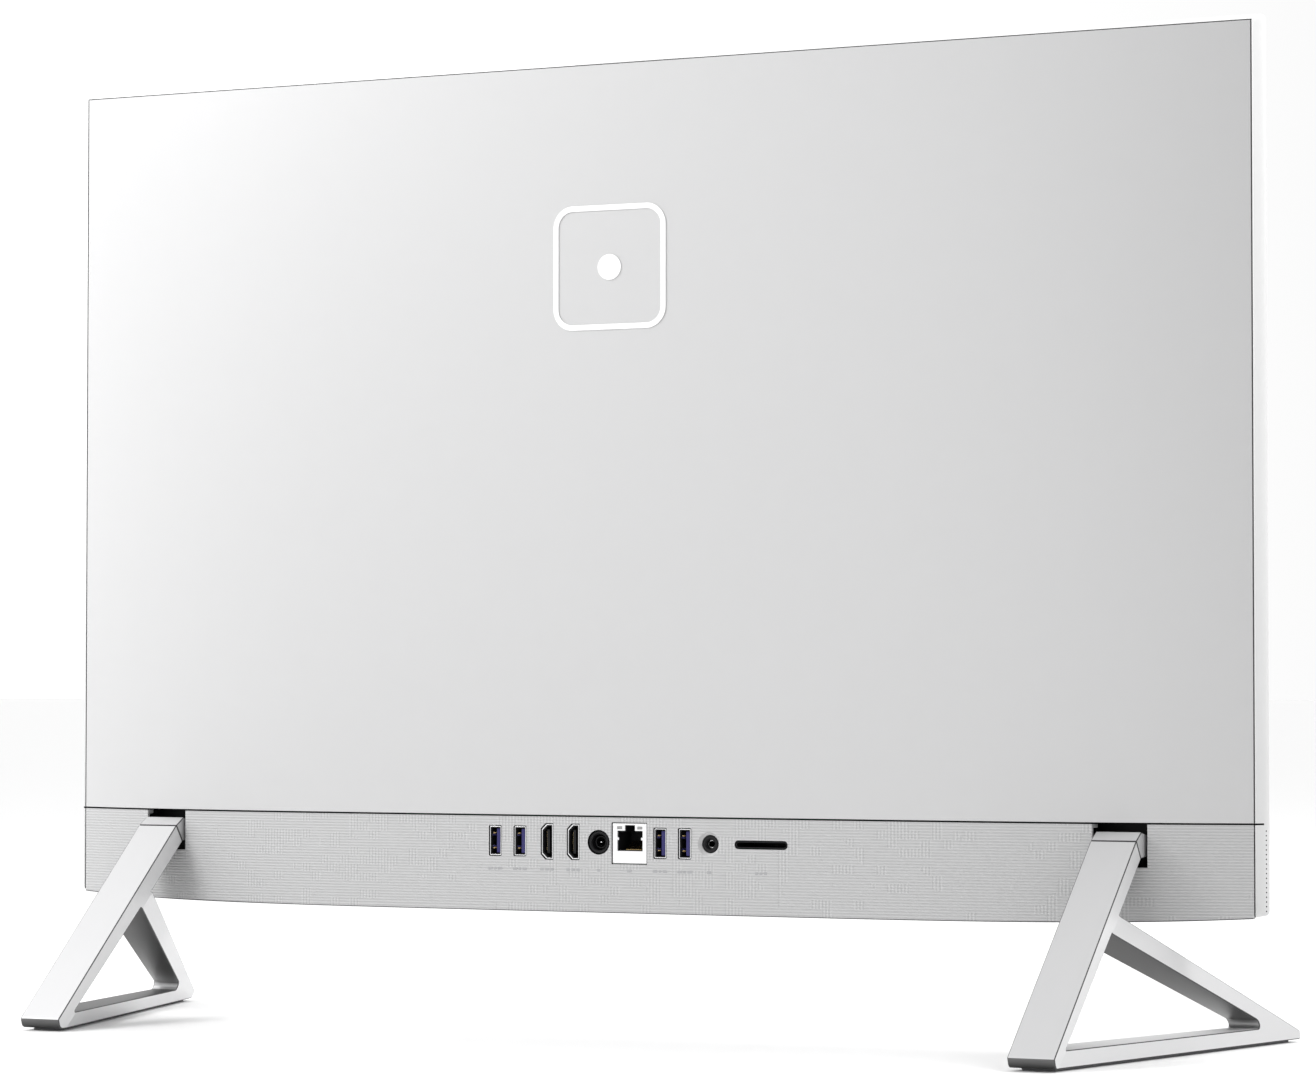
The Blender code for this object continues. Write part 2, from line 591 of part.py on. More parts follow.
def build_speakers(display):
    """Build the two downward-set speaker boxes behind the grille."""
    for side, label in ((-1.0, "left"), (1.0, "right")):
        ends = sorted((side * 0.1284, side * 0.2116))
        speaker = node(f"speaker_{label}", box((ends[0], -0.0335, 0.0674), (ends[1], -0.0165, 0.0926)),
                       DARK_PLASTIC, display)
        cone = rounded_rectangle(0.0330, 0.0095, 0.0090, (side * 0.1700, 0.0800))
        cut(speaker, prism(cone, 'Y', -0.0345, -0.0320))
        bevel(speaker, 0.0010, 1)


def build_camera(display):
    """Build the camera module that slides up out of the top edge, and its guide."""
    bottom = CAMERA_TOP_Z - CAMERA_HEIGHT
    module = node("camera_module", box((-CAMERA_HALF_WIDTH, CAMERA_FRONT_Y, bottom),
                                       (CAMERA_HALF_WIDTH, CAMERA_REAR_Y, CAMERA_TOP_Z)),
                  DARK_PLASTIC, display,
                  (0.0, (CAMERA_FRONT_Y + CAMERA_REAR_Y) / 2.0, CAMERA_TOP_Z))
    cut(module, cylinder((0.0, CAMERA_TOP_Z - 0.0090), 0.0030, 'Y', -0.0300, CAMERA_FRONT_Y + 0.0010, 16))
    guide = node("camera_guide", box((-0.0340, -0.0286, 0.3920), (0.0340, -0.0205, 0.4400)), STEEL, display)
    cut(guide, box((-0.0304, -0.0300, 0.3960), (0.0304, CAMERA_REAR_Y + 0.0004, 0.4500)))


def build_button(display):
    """Build the power button in the underside of the front frame."""
    outline = rounded_rectangle(BUTTON_HALF[0], BUTTON_HALF[1], BUTTON_HALF[1] - 0.0002,
                                (BUTTON_X, BUTTON_Y))
    node("power_button", prism(outline, 'Z', BUTTON_BOTTOM_Z, BUTTON_BOTTOM_Z + BUTTON_HEIGHT), ALUMINIUM,
         display, (BUTTON_X, BUTTON_Y, BUTTON_BOTTOM_Z))


def build_emblem(display):
    """Build a plain badge: a rounded square outline around a small dot."""
    front = rear_y(0.0) + 0.0001
    centre = (0.0, EMBLEM_Z)
    ring = node("emblem_outline", prism(rounded_rectangle(EMBLEM_HALF, EMBLEM_HALF, EMBLEM_CORNER, centre, 6),
                                        'Y', front, front + EMBLEM_THICKNESS), WHITE_PAINT, display)
    inner = EMBLEM_HALF - EMBLEM_LINE
    cut(ring, prism(rounded_rectangle(inner, inner, EMBLEM_CORNER - EMBLEM_LINE, centre, 6),
                    'Y', front - 0.001, front + 0.001))
    node("emblem_dot", cylinder(centre, 0.0060, 'Y', front, front + EMBLEM_THICKNESS), WHITE_PAINT, display)


def main():
    """Clear the scene and build the whole computer."""
    for thing in list(bpy.data.objects):
        bpy.data.objects.remove(thing, do_unlink=True)
    display = bpy.data.objects.new("display_pivot", None)
    bpy.context.scene.collection.objects.link(display)
    place(display, (0.0, PIVOT_Y, PIVOT_Z))
    for side, label in ((-1.0, "left"), (1.0, "right")):
        build_leg(f"leg_{label}", side, f"foot_pad_{label}")
        build_hinge(side, label, display)
    build_front_frame(display)
    build_screen(display)
    build_rear_cover(display)
    build_lower_cover(display)
    build_ports(display)
    build_board(display)
    build_cooling(display)
    build_speakers(display)
    build_camera(display)
    build_button(display)
    build_emblem(display)
    for thing in bpy.data.objects:
        if thing.parent is None:
            thing.location.y += ORIGIN_SHIFT_Y


main()
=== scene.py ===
"""Looks for the all-in-one desktop computer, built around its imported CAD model.

Metres, +Z up. The screen faces -Y and the ports face +Y, as in the CAD model.
"""
import math

import bmesh
import bpy
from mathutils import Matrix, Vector


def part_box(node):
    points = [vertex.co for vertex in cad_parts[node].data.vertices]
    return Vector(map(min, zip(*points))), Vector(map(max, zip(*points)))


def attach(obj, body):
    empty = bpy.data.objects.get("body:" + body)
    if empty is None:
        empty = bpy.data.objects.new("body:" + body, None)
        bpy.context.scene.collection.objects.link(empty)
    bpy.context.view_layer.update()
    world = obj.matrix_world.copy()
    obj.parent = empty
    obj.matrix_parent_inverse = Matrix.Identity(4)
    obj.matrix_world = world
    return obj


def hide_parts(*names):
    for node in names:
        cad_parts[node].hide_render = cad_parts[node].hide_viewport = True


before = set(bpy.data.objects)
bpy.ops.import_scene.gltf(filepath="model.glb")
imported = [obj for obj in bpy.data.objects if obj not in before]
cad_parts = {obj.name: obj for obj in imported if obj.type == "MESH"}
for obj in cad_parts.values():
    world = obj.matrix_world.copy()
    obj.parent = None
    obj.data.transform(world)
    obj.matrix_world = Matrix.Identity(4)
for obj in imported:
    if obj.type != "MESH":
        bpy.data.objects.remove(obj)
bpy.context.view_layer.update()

# Camera, on the ports' side and a little above the desk
CAMERA_SPOT = (-0.8970, 1.7978, 0.1610)
CAMERA_TURN = (91.90, 0.0, 205.87)
CAMERA_LENS = 119.0
CAMERA_SENSOR = 36.0

# Studio: white surroundings that are brighter on the +X side, a large floor, and softboxes given
# as name, place, target, size and power
WORLD_STRENGTH = 0.73
SIDE_STRENGTH = 0.80
FLOOR_HALF = 40.0
SUN_TARGET = (-0.15, 1.0, -1.3)
SUN_ANGLE = 50.0
SUN_STRENGTH = 0.55
SOFTBOXES = (
    ("key_softbox", (0.62, 0.5043, 0.80), (0.20, 0.0043, 0.30), 0.4, 5.2),
    ("right_softbox", (-1.60, -0.8957, 2.00), (-0.30, 0.0043, 0.30), 1.2, 33.0),
)

# The layout's depths are counted from a point this far behind the row's origin, as in the CAD model
ORIGIN_SHIFT_Y = 0.0043


def layout_box(name):
    """Return a CAD node's lowest and highest corners at rest, in the layout's depths."""
    return tuple((x, y - ORIGIN_SHIFT_Y, z) for x, y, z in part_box(name))


# Places read from the CAD model
COVER_LOW, COVER_HIGH = layout_box("rear_cover")
CHIN_TOP = layout_box("lower_rear_cover")[1][2]
RIM_LOW, RIM_HIGH = layout_box("front_frame")
GLASS_LOW, GLASS_HIGH = layout_box("cover_glass")
GRILLE_LOW, GRILLE_HIGH = layout_box("speaker_grille")
SHAFT_LOW, SHAFT_HIGH = layout_box("hinge_shaft_right")
BLOCK_LOW, BLOCK_HIGH = layout_box("hinge_block_right")

# The covers' bulge and edges, as in the CAD model
COVER_HALF = COVER_HIGH[0]
COVER_EDGE_Y = -0.0285
COVER_FRONT_Y = COVER_LOW[1]
BULGE = COVER_HIGH[1] - COVER_EDGE_Y
BULGE_POWER = 5.0
TOP_SLOPE = -0.158
BOTTOM_SLOPE = -0.132
COVER_TOP = 0.4523
CHIN_BOTTOM = 0.0588
WALL = 0.0018
STATIONS = 120

# How far each cover is eased back from the seam, and the dark strip of painted shade along the chin's lower
# edge
SEAM_EASE = 0.00010
EDGE_SHADE_LINE_HEIGHT = 0.00040
EDGE_SHADE_LINE_PROUD = 0.00003

# Level ribs moulded into the lower cover
RIB_PITCH = 0.00133
RIB_DEPTH = 0.00012
RIB_STEPS = 6
RIB_MARGIN = 0.0010
RIB_FADE = 0.0020

# The rim's side and top, which swell toward the screen
RIM_REAR_Y = RIM_HIGH[1]
RIM_FRONT_Y = RIM_LOW[1]
RIM_SIDE_FLARE = 0.0035
RIM_TOP_FLARE = 0.0024
RIM_TIP = 0.0007
RIM_CORNER = 0.0025
FRAME_REAR_Y = -0.0304

# The rim's row of sound dots at each side, and the sound windows behind the cloth
DOT_Y = -0.0331
DOT_Z = 0.0620
DOT_PITCH = 0.00206
DOT_RADIUS = 0.00035
DOT_COUNT = 18
SOUND_X = 0.1700

# Legs, as in the CAD model: upright behind the crease, leaning outward and thinning ahead of it
PIVOT_Y = (SHAFT_LOW[1] + SHAFT_HIGH[1]) / 2.0
PIVOT_Z = (SHAFT_LOW[2] + SHAFT_HIGH[2]) / 2.0
LEG_WIDTH = BLOCK_HIGH[0] - BLOCK_LOW[0]
BLOCK_MIDDLE = (BLOCK_HIGH[0] + BLOCK_LOW[0]) / 2.0
LEG_OUTER_X = BLOCK_HIGH[0]
LEG_OUTER_SPLAY = 0.278
LEG_INNER_SPLAY = 0.332
CREASE_Z = 0.0734
CREASE_SLOPE = 0.806
CREASE_ANGLE = 20.0
NECK_REAR = (-0.0055, 0.0925)
NECK_FRONT = (-0.0112, 0.0847)
HEEL = (0.0957, 0.0057)
HEEL_BOTTOM = (0.0941, 0.0013)
TOE_BOTTOM = (-0.1027, 0.0013)
TOE_TOP = (-0.1045, 0.0048)
CROTCH = (0.0165, 0.0617)
CREASE_HEAD = (0.0153, CREASE_Z - CREASE_SLOPE * 0.0153)
CREASE_FOOT = ((CREASE_Z - 0.0013) / CREASE_SLOPE, 0.0013)
WINDOW = ((0.0258, 0.0543), (0.0828, 0.0084), (-0.0805, 0.0077))
BLOCK_TOP = (-0.0122, 0.0963)

# The picture area behind the glass
PICTURE_HALF_WIDTH = 0.2985
PICTURE_LOW_Z = 0.1118
PICTURE_HIGH_Z = 0.4490

# Ports and the marks below them
PORT_NAMES = ("usb_port_1", "usb_port_2", "hdmi_port_1", "hdmi_port_2", "power_inlet", "ethernet_port",
              "usb_port_3", "usb_port_4", "audio_jack", "sd_card_slot")
PORT_Z = 0.0881
AUDIO_RECESS = 0.0016
MARK_Z = 0.0752
MARK_GAP = 0.0008
POCKET_HALF_WIDTH = 0.0121
POCKET_BOTTOM = 0.0807
LIP_HALF_WIDTH = 0.0175
LIP_HEIGHT = 0.0022
LIP_REAR_Y = -0.0207

# Openings of the port row in the lower cover: half sizes, corner radii and depth
USB_OPENING = (0.0034, 0.00715, 0.0006)
HDMI_OPENING_GROW = 0.0004
INLET_OPENING_RADIUS = 0.0057
NETWORK_OPENING = (0.0091, 0.0096, 0.0003)
NETWORK_OPENING_DROP = 0.0003
CARD_OPENING = (0.0132, 0.0020, 0.0018)
OPENING_DEPTH_Y = -0.0180

# USB ports: outline and insets; the boxes are corners counted from a port's middle and rear face
USB_HALF = (0.0030, 0.00675)
USB_SHELL_RADIUS = 0.0005
USB_SHELL_INSET = 0.00038
USB_WELL_INSET = 0.00042
USB_WELL_HOLE_INSET = 0.00072
USB_INNER_RADIUS = 0.0003
USB_HOLE_RADIUS = 0.0002
USB_TONGUE = ((-0.0021, -0.0137, -0.0056), (-0.0002, -0.0010, 0.0056))
USB_GROOVE = ((-0.0005, -0.0100, -0.0005), (0.0010, -0.0014, 0.0005))
USB_CONTACT = ((-0.00045, -0.0095, -0.0004), (-0.00028, -0.0018, 0.0004))
USB_ROWS = (-0.0036, -0.0012, 0.0012, 0.0036)
USB_LEAF = ((0.00215, -0.0070), (0.0010, -0.0032), (0.00205, -0.0012), (0.00225, -0.0013),
            (0.00125, -0.0032), (0.00228, -0.0070))
USB_SPRING_ROWS = (-0.0030, 0.0030)
USB_SPRING_HALF = 0.0008

# HDMI ports: outline, insets and the boxes of the tongue and of its contacts
HDMI_HALF = (0.0029, 0.0080)
HDMI_CHAMFER = 0.0024
HDMI_SHELL_INSET = 0.0004
HDMI_WELL_INSET = 0.00045
HDMI_WELL_HOLE_INSET = 0.0008
HDMI_TONGUE = ((-0.0007, -0.0118, -0.0055), (0.0007, -0.0012, 0.0055))
HDMI_CONTACT = ((0.00072, -0.0100, -0.00025), (0.0009, -0.0016, 0.00025))
HDMI_CONTACT_PITCH = 0.0010

# Network port: plate, lamps, wires and the two springs beside the plug
NETWORK_PLATE = (0.0087, 0.0092, 0.0003)
NETWORK_WALL = 0.00035
NETWORK_LAMPS = (-0.0052, 0.0051)
NETWORK_WIRE_PITCH = 0.00102
NETWORK_WIRE_HALF = 0.00025

NETWORK_WIRE = ((-0.0139, 0.0850), (-0.0040, 0.0850), (-0.0110, 0.0885), (-0.0110, 0.0888),
                (-0.0034, 0.0850), (-0.0034, 0.0847), (-0.0139, 0.0847))

# Turned parts: radius, and depth from the rear face (camera: from the front face)
INLET_BARREL = ((0.0002, -0.0130), (0.0053, -0.0130), (0.0053, -0.0004), (0.0049, 0.0),
                (0.0042, 0.0), (0.0038, -0.0005), (0.0036, -0.0110), (0.0002, -0.0110))
INLET_RING = ((0.0024, -0.0108), (0.0028, -0.0108), (0.0028, -0.0022), (0.0024, -0.0022))
INLET_PIN = ((0.00005, -0.0109), (0.0006, -0.0109), (0.0006, -0.0030), (0.0003, -0.0024),
             (0.00005, -0.0024))
JACK_RING = ((0.0002, -0.0140), (0.0040, -0.0140), (0.0040, -0.0003), (0.0037, 0.0), (0.0026, 0.0),
             (0.0021, -0.0006), (0.0018, -0.0012), (0.0018, -0.0130), (0.0002, -0.0130))
JACK_CONTACT = ((0.00155, -0.0060), (0.00175, -0.0060), (0.00175, -0.0020), (0.00155, -0.0020))
LENS_RING = ((0.0020, 0.0010), (0.0029, 0.0010), (0.0029, 0.0001), (0.0027, 0.0), (0.0024, 0.0),
             (0.0020, 0.0005))
LENS_GLASS = ((0.00002, 0.0009), (0.0019, 0.0009), (0.0019, 0.0006), (0.0010, 0.0004),
              (0.00002, 0.00035))

# Camera body: where the lens sits below its top, and the recesses in its front
LENS_DROP = 0.0090
LENS_SEAT_RADIUS = 0.0030
LENS_SEAT_DEPTH = 0.0010
EAR_X = 0.0120
EAR_RADIUS = 0.0005

# Card slot: half sizes and corner radii of its sleeve and mouth
CARD_SLEEVE = (0.0128, 0.0016, 0.0015)
CARD_MOUTH = (0.0123, 0.0011, 0.0010)

# Rounded edges of the smallest pieces, and how far a cut reaches past a face
HAIR_EDGE = 0.0001
FINE_EDGE = 0.00012
SMALL_EDGE = 0.00015
CUT_REACH = 0.001

# Rim details
SEAT_GAP = 0.0004
CLOTH_GAP = 0.0003
NOTCH_X = 0.30475
NOTCH_HALF_WIDTH = 0.00275
NOTCH_DEPTH = 0.0032
NOTCH_HALF_HEIGHT = 0.0004
DOT_X = 0.3066
DOT_REACH = 0.0010
SOUND_HALF_WIDTH = 0.0420
SOUND_LOW_Z = 0.0670
SOUND_HIGH_Z = 0.0930
BUTTON_HOLE = (0.0053, 0.0018, 0.0015)
BUTTON_HOLE_DEPTH = 0.0012

# Badge
BADGE_INNER_HALF = 0.0264
BADGE_CORNER = 0.0100


def middle_x(name):
    """Return a CAD node's middle along X."""
    low, high = layout_box(name)
    return (low[0] + high[0]) / 2.0


# ---------------------------------------------------------------- materials

class Look:
    """A Principled material with short ways to add procedural detail."""

    def __init__(self, name, colour, roughness, metallic=0.0):
        self.material = bpy.data.materials.new(name)
        self.material.use_nodes = True
        self.nodes = self.material.node_tree.nodes
        self.links = self.material.node_tree.links
        self.shader = self.nodes["Principled BSDF"]
        self.colour = colour
        self.set("Base Color", (*colour, 1.0))
        self.set("Roughness", roughness)
        self.set("Metallic", metallic)
        self.place = self.nodes.new("ShaderNodeTexCoord").outputs["Object"]

    def set(self, socket, value):
        self.shader.inputs[socket].default_value = value

    def math(self, operation, first, second=None, third=None):
        node = self.nodes.new("ShaderNodeMath")
        node.operation = operation
        for socket, value in zip(node.inputs, (first, second, third)):
            if value is None:
                continue
            if isinstance(value, (int, float)):
                socket.default_value = value
            else:
                self.links.new(value, socket)
        return node.outputs[0]

    def axes(self):
        split = self.nodes.new("ShaderNodeSeparateXYZ")
        self.links.new(self.place, split.inputs[0])
        return split.outputs

    def noise(self, scale, detail=2.0, stretch=None):
        texture = self.nodes.new("ShaderNodeTexNoise")
        texture.inputs["Scale"].default_value = scale
        texture.inputs["Detail"].default_value = detail
        source = self.place
        if stretch:
            squeeze = self.nodes.new("ShaderNodeVectorMath")
            squeeze.operation = 'MULTIPLY'
            squeeze.inputs[1].default_value = stretch
            self.links.new(source, squeeze.inputs[0])
            source = squeeze.outputs[0]
        self.links.new(source, texture.inputs["Vector"])
        return texture.outputs["Fac"]

    def tint(self, factor, dark, light):
        """Colour runs from dark to light with factor."""
        mix = self.nodes.new("ShaderNodeMix")
        mix.data_type = 'RGBA'
        mix.inputs[6].default_value = (*dark, 1.0)
        mix.inputs[7].default_value = (*light, 1.0)
        self.links.new(factor, mix.inputs[0])
        self.links.new(mix.outputs[2], self.shader.inputs["Base Color"])

    def rough(self, factor, low, high):
        spread = self.nodes.new("ShaderNodeMapRange")
        spread.inputs["To Min"].default_value = low
        spread.inputs["To Max"].default_value = high
        self.links.new(factor, spread.inputs["Value"])
        self.links.new(spread.outputs[0], self.shader.inputs["Roughness"])

    def bump(self, height, strength, distance):
        node = self.nodes.new("ShaderNodeBump")
        node.inputs["Strength"].default_value = strength
        node.inputs["Distance"].default_value = distance
        self.links.new(height, node.inputs["Height"])
        self.links.new(node.outputs[0], self.shader.inputs["Normal"])


def shade(colour, amount):
    """Return a colour made lighter or darker."""
    return tuple(max(0.0, min(1.0, part * (1.0 + amount))) for part in colour)


def grained(name, colour, roughness, metallic=0.0, scale=2500.0, spread=0.03, strength=0.12, gloss=0.5):
    """A moulded, cast or blasted surface with fine grain and a little unevenness."""
    look = Look(name, colour, roughness, metallic)
    look.set("Specular IOR Level", gloss)
    look.tint(look.noise(60.0, 3.0), shade(colour, -spread), shade(colour, spread))
    fine = look.noise(scale, 3.0)
    look.rough(fine, roughness - 0.05, roughness + 0.05)
    look.bump(fine, strength, 0.00008)
    return look.material


def woven(name, groove, thread, pitch=0.00133):
    """A surface moulded like cloth: level ribs, with scattered patches of upright threads, and painted shade
    in its grooves.
    """
    look = Look(name, thread, 0.52)
    x, _, z = look.axes()
    turn = math.tau / pitch
    rib = look.math('MULTIPLY_ADD', look.math('COSINE', look.math('MULTIPLY', z, turn)), 0.5, 0.5)
    upright = look.math('MULTIPLY_ADD', look.math('COSINE', look.math('MULTIPLY', x, turn / 1.25)), 0.5, 0.5)
    snap = look.nodes.new("ShaderNodeVectorMath")
    snap.operation = 'SNAP'
    snap.inputs[1].default_value = (pitch * 4.0, 1.0, pitch * 3.0)
    look.links.new(look.place, snap.inputs[0])
    chance = look.nodes.new("ShaderNodeTexWhiteNoise")
    look.links.new(snap.outputs[0], chance.inputs["Vector"])
    likely = look.math('MULTIPLY_ADD', look.noise(24.0, 2.0), 2.2, chance.outputs["Value"])
    far = look.math('MULTIPLY', look.math('ABSOLUTE', x), 1.6)
    patch = look.math('GREATER_THAN', look.math('SUBTRACT', likely, far), 1.62)
    threads = look.math('MULTIPLY', look.math('SUBTRACT', upright, 0.5), patch)
    height = look.math('MULTIPLY_ADD', threads, 0.8, look.math('MULTIPLY_ADD', rib, 0.8, 0.1))
    # Painted shade: the grooves between the ribs and threads are coloured darker than the crests.
    look.tint(height, groove, thread)
    look.rough(height, 0.62, 0.48)
    look.bump(height, 0.45, 0.00025)
    return look.material


def graded(name, axis, start, end, levels, roughness, metallic, bend=1.0):
    """A satin surface whose grey runs between two levels from start to end along one axis; here it carries
    painted shade.
    """
    look = Look(name, (levels[0],) * 3, roughness, metallic)
    place = look.axes()[axis]
    along = look.math('POWER', look.math('DIVIDE', look.math('SUBTRACT', place, start), end - start), bend)
    fine = look.noise(1800.0, 3.0)
    uneven = look.math('MULTIPLY_ADD', look.math('SUBTRACT', fine, 0.5), 0.06, along)
    look.tint(uneven, (levels[0],) * 3, (levels[1],) * 3)
    look.rough(fine, roughness - 0.05, roughness + 0.05)
    look.bump(fine, 0.10, 0.00008)
    return look.material


def circuit_board(name):
    """Green solder mask with fine traces."""
    look = Look(name, (0.02, 0.12, 0.06), 0.4)
    cells = look.nodes.new("ShaderNodeTexVoronoi")
    cells.distance = 'MANHATTAN'
    cells.inputs["Scale"].default_value = 260.0
    look.links.new(look.place, cells.inputs["Vector"])
    look.tint(cells.outputs["Distance"], (0.015, 0.10, 0.05), (0.04, 0.20, 0.10))
    look.bump(cells.outputs["Distance"], 0.2, 0.0001)
    return look.material


def screen_glass(name):
    """Dark glass over an unlit panel."""
    look = Look(name, (0.006, 0.006, 0.007), 0.05)
    x, _, z = look.axes()
    across = look.math('LESS_THAN', look.math('ABSOLUTE', x), PICTURE_HALF_WIDTH)
    middle = look.math('SUBTRACT', z, (PICTURE_LOW_Z + PICTURE_HIGH_Z) / 2.0)
    upward = look.math('LESS_THAN', look.math('ABSOLUTE', middle), (PICTURE_HIGH_Z - PICTURE_LOW_Z) / 2.0)
    picture = look.math('MULTIPLY', look.math('MULTIPLY', across, upward), look.noise(900.0, 1.0))
    look.tint(picture, (0.002, 0.002, 0.002), (0.014, 0.014, 0.017))
    look.rough(look.noise(40.0, 2.0), 0.04, 0.08)
    look.set("Specular IOR Level", 0.3)
    return look.material


SILVER = grained("satin_silver_plastic", (0.54, 0.54, 0.543), 0.42, spread=0.006)
# Painted shade: the rim's grey is darker toward its bottom and lighter toward its top.
RIM_SILVER_PAINTED_SHADE = graded("rim_silver_painted_shade", 2, CHIN_BOTTOM, RIM_HIGH[2], (0.60, 0.85), 0.38, 0.0)
WOVEN = woven("woven_silver_plastic", (0.40, 0.40, 0.403), (0.54, 0.54, 0.543))
CLOTH = woven("grille_cloth", (0.30, 0.30, 0.303), (0.56, 0.56, 0.563), 0.0009)
ALUMINIUM = grained("satin_aluminium", (0.575, 0.575, 0.58), 0.42, 0.40, 1800.0, 0.01, 0.10)
# Painted light: a lighter copy of the legs' aluminium for their side faces.
SIDE_PAINTED_LIGHT_ALUMINIUM = grained("side_aluminium_painted_light", (0.73, 0.73, 0.735), 0.42, 0.40, 1800.0, 0.01, 0.10)
# Painted shade: a near-black metal for one leg's window floor.
WINDOW_FLOOR_PAINTED_SHADE = grained("half_shaded_aluminium", (0.065, 0.065, 0.066), 0.45, 0.5, 1800.0, 0.02, 0.10)
# Painted shade: near black toward the window's top, turning grey toward the toe; for the legs' downward faces
# and one window's front corner.
PAINTED_SHADE_ALUMINIUM = graded("shaded_aluminium", 1, WINDOW[0][0], WINDOW[2][0], (0.045, 0.55), 0.40, 1.0, 3.0)
# Painted shade: the heel's rear faces run from near black at the floor up to dark grey.
HEEL_PAINTED_SHADE = graded("shaded_heel", 2, HEEL_BOTTOM[1], HEEL[1], (0.020, 0.15), 0.42, 0.6)
# Painted shade: a near-black colour for the edge bevels of the legs and hinge caps and for the strip along
# the chin's lower edge.
EDGE_SHADE_LINE = grained("edge_shade_line", (0.07, 0.07, 0.072), 0.45, 0.0, 1800.0, 0.02, 0.05, 0.3)
CHROME = grained("plated_shell", (0.86, 0.86, 0.87), 0.16, 1.0, 900.0, 0.02, 0.05)
GOLD = grained("gold_contacts", (0.90, 0.66, 0.30), 0.22, 1.0, 900.0, 0.03, 0.05)
BLACK = grained("black_plastic", (0.010, 0.010, 0.011), 0.45, spread=0.15, gloss=0.2)
BLUE = grained("blue_tongue", (0.030, 0.027, 0.125), 0.40, spread=0.08, gloss=0.3)
GREY_MARK = grained("grey_print", (0.36, 0.36, 0.37), 0.6, spread=0.05)
PALE_PLATE = grained("pale_port_plate", (0.86, 0.86, 0.86), 0.30, 0.3, spread=0.02)
LAMP_WINDOW = grained("port_lamp_window", (0.30, 0.30, 0.30), 0.35, spread=0.05)
LENS = grained("lens_glass", (0.010, 0.010, 0.016), 0.04, 0.0, 400.0, 0.10, 0.0)
WHITE = grained("white_badge", (0.93, 0.93, 0.93), 0.30, spread=0.005)
RUBBER = grained("grey_rubber", (0.16, 0.16, 0.165), 0.80, spread=0.08, strength=0.3)
STEEL = grained("bracket_steel", (0.42, 0.42, 0.43), 0.38, 1.0, spread=0.05)
COPPER = grained("copper_pipe", (0.72, 0.36, 0.22), 0.30, 1.0, spread=0.06)
BOARD = circuit_board("circuit_board")
GLASS = screen_glass("screen_glass")

NODE_LOOKS = {
    "foot_pad_left": RUBBER, "foot_pad_right": RUBBER, "hinge_shaft_left": STEEL, "hinge_shaft_right": STEEL,
    "hinge_bracket_left": BLACK, "hinge_bracket_right": BLACK, "chassis_plate": BLACK, "display_panel": BLACK,
    "cover_glass": GLASS, "speaker_left": BLACK, "speaker_right": BLACK, "motherboard": BOARD,
    "processor": STEEL, "heat_sink": ALUMINIUM, "heat_sink_fins": ALUMINIUM, "heat_pipe": COPPER,
    "blower_housing": BLACK, "blower_impeller": BLACK, "memory_module_1": BOARD, "memory_module_2": BOARD,
    "ssd": BOARD, "wireless_card": STEEL, "camera_guide": STEEL, "power_button": ALUMINIUM,
    "board_screw_1": STEEL, "board_screw_2": STEEL, "board_screw_3": STEEL, "board_screw_4": STEEL,
}


# ---------------------------------------------------------------- shapes

def lofted(rings, closed=True):
    """Skin a row of closed rings that have the same number of points."""
    shape = bmesh.new()
    rows = [[shape.verts.new(point) for point in ring] for ring in rings]
    count = len(rows[0])
    for near, far in zip(rows, rows[1:]):
        for i in range(count):
            j = (i + 1) % count
            shape.faces.new((near[i], near[j], far[j], far[i]))
    if closed:
        shape.faces.new(rows[0])
        shape.faces.new(rows[-1])
    return shape


def prism(points, axis, low, high):
    """Extrude an outline along X, Y or Z between two levels."""
    order = {'X': lambda a, b, c: (c, a, b), 'Y': lambda a, b, c: (a, c, b), 'Z': lambda a, b, c: (a, b, c)}
    spot = order[axis]
    return lofted([[spot(a, b, level) for a, b in points] for level in (low, high)])


def box(low, high):
    """Make a box from its two opposite corners."""
    corners = [(low[0], low[1]), (high[0], low[1]), (high[0], high[1]), (low[0], high[1])]
    return prism(corners, 'Z', low[2], high[2])


def circle(centre, radius, sides=48):
    """Return the points of a round outline."""
    turns = [math.tau * i / sides for i in range(sides)]
    return [(centre[0] + radius * math.cos(t), centre[1] + radius * math.sin(t)) for t in turns]


def rounded(points, radii, steps=6):
    """Round each corner of an outline with an arc of its own radius."""
    outline = []
    for i, (point, radius) in enumerate(zip(points, radii)):
        corner = Vector(point)
        before = (Vector(points[i - 1]) - corner).normalized()
        after = (Vector(points[(i + 1) % len(points)]) - corner).normalized()
        half = before.angle(after) / 2.0
        if radius == 0.0:
            outline.append(point)
            continue
        centre = corner + (before + after).normalized() * radius / math.sin(half)
        start = (corner + before * radius / math.tan(half) - centre).normalized()
        end = (corner + after * radius / math.tan(half) - centre).normalized()
        for k in range(steps + 1):
            outline.append(tuple(centre + start.slerp(end, k / steps) * radius))
    return outline


def rounded_rectangle(half_width, half_height, radius, centre=(0.0, 0.0), steps=6):
    """Return a rectangle with four equal round corners."""
    x, z = centre
    corners = [(x - half_width, z - half_height), (x + half_width, z - half_height),
               (x + half_width, z + half_height), (x - half_width, z + half_height)]
    return rounded(corners, [radius] * 4, steps)


def turned(profile, centre, sides=64):
    """Turn a closed (radius, y) profile about an axis along Y; no point may be on the axis."""
    rings = []
    for i in range(sides):
        turn = math.tau * i / sides
        rings.append([(centre[0] + r * math.cos(turn), y, centre[1] + r * math.sin(turn))
                      for r, y in profile])
    return lofted(rings + rings[:1], closed=False)


def joined(shapes):
    """Merge shapes that don't touch into one."""
    whole = bmesh.new()
    for shape in shapes:
        part = bpy.data.meshes.new("part")
        bmesh.ops.recalc_face_normals(shape, faces=shape.faces)
        shape.to_mesh(part)
        shape.free()
        whole.from_mesh(part)
        bpy.data.meshes.remove(part)
    return whole


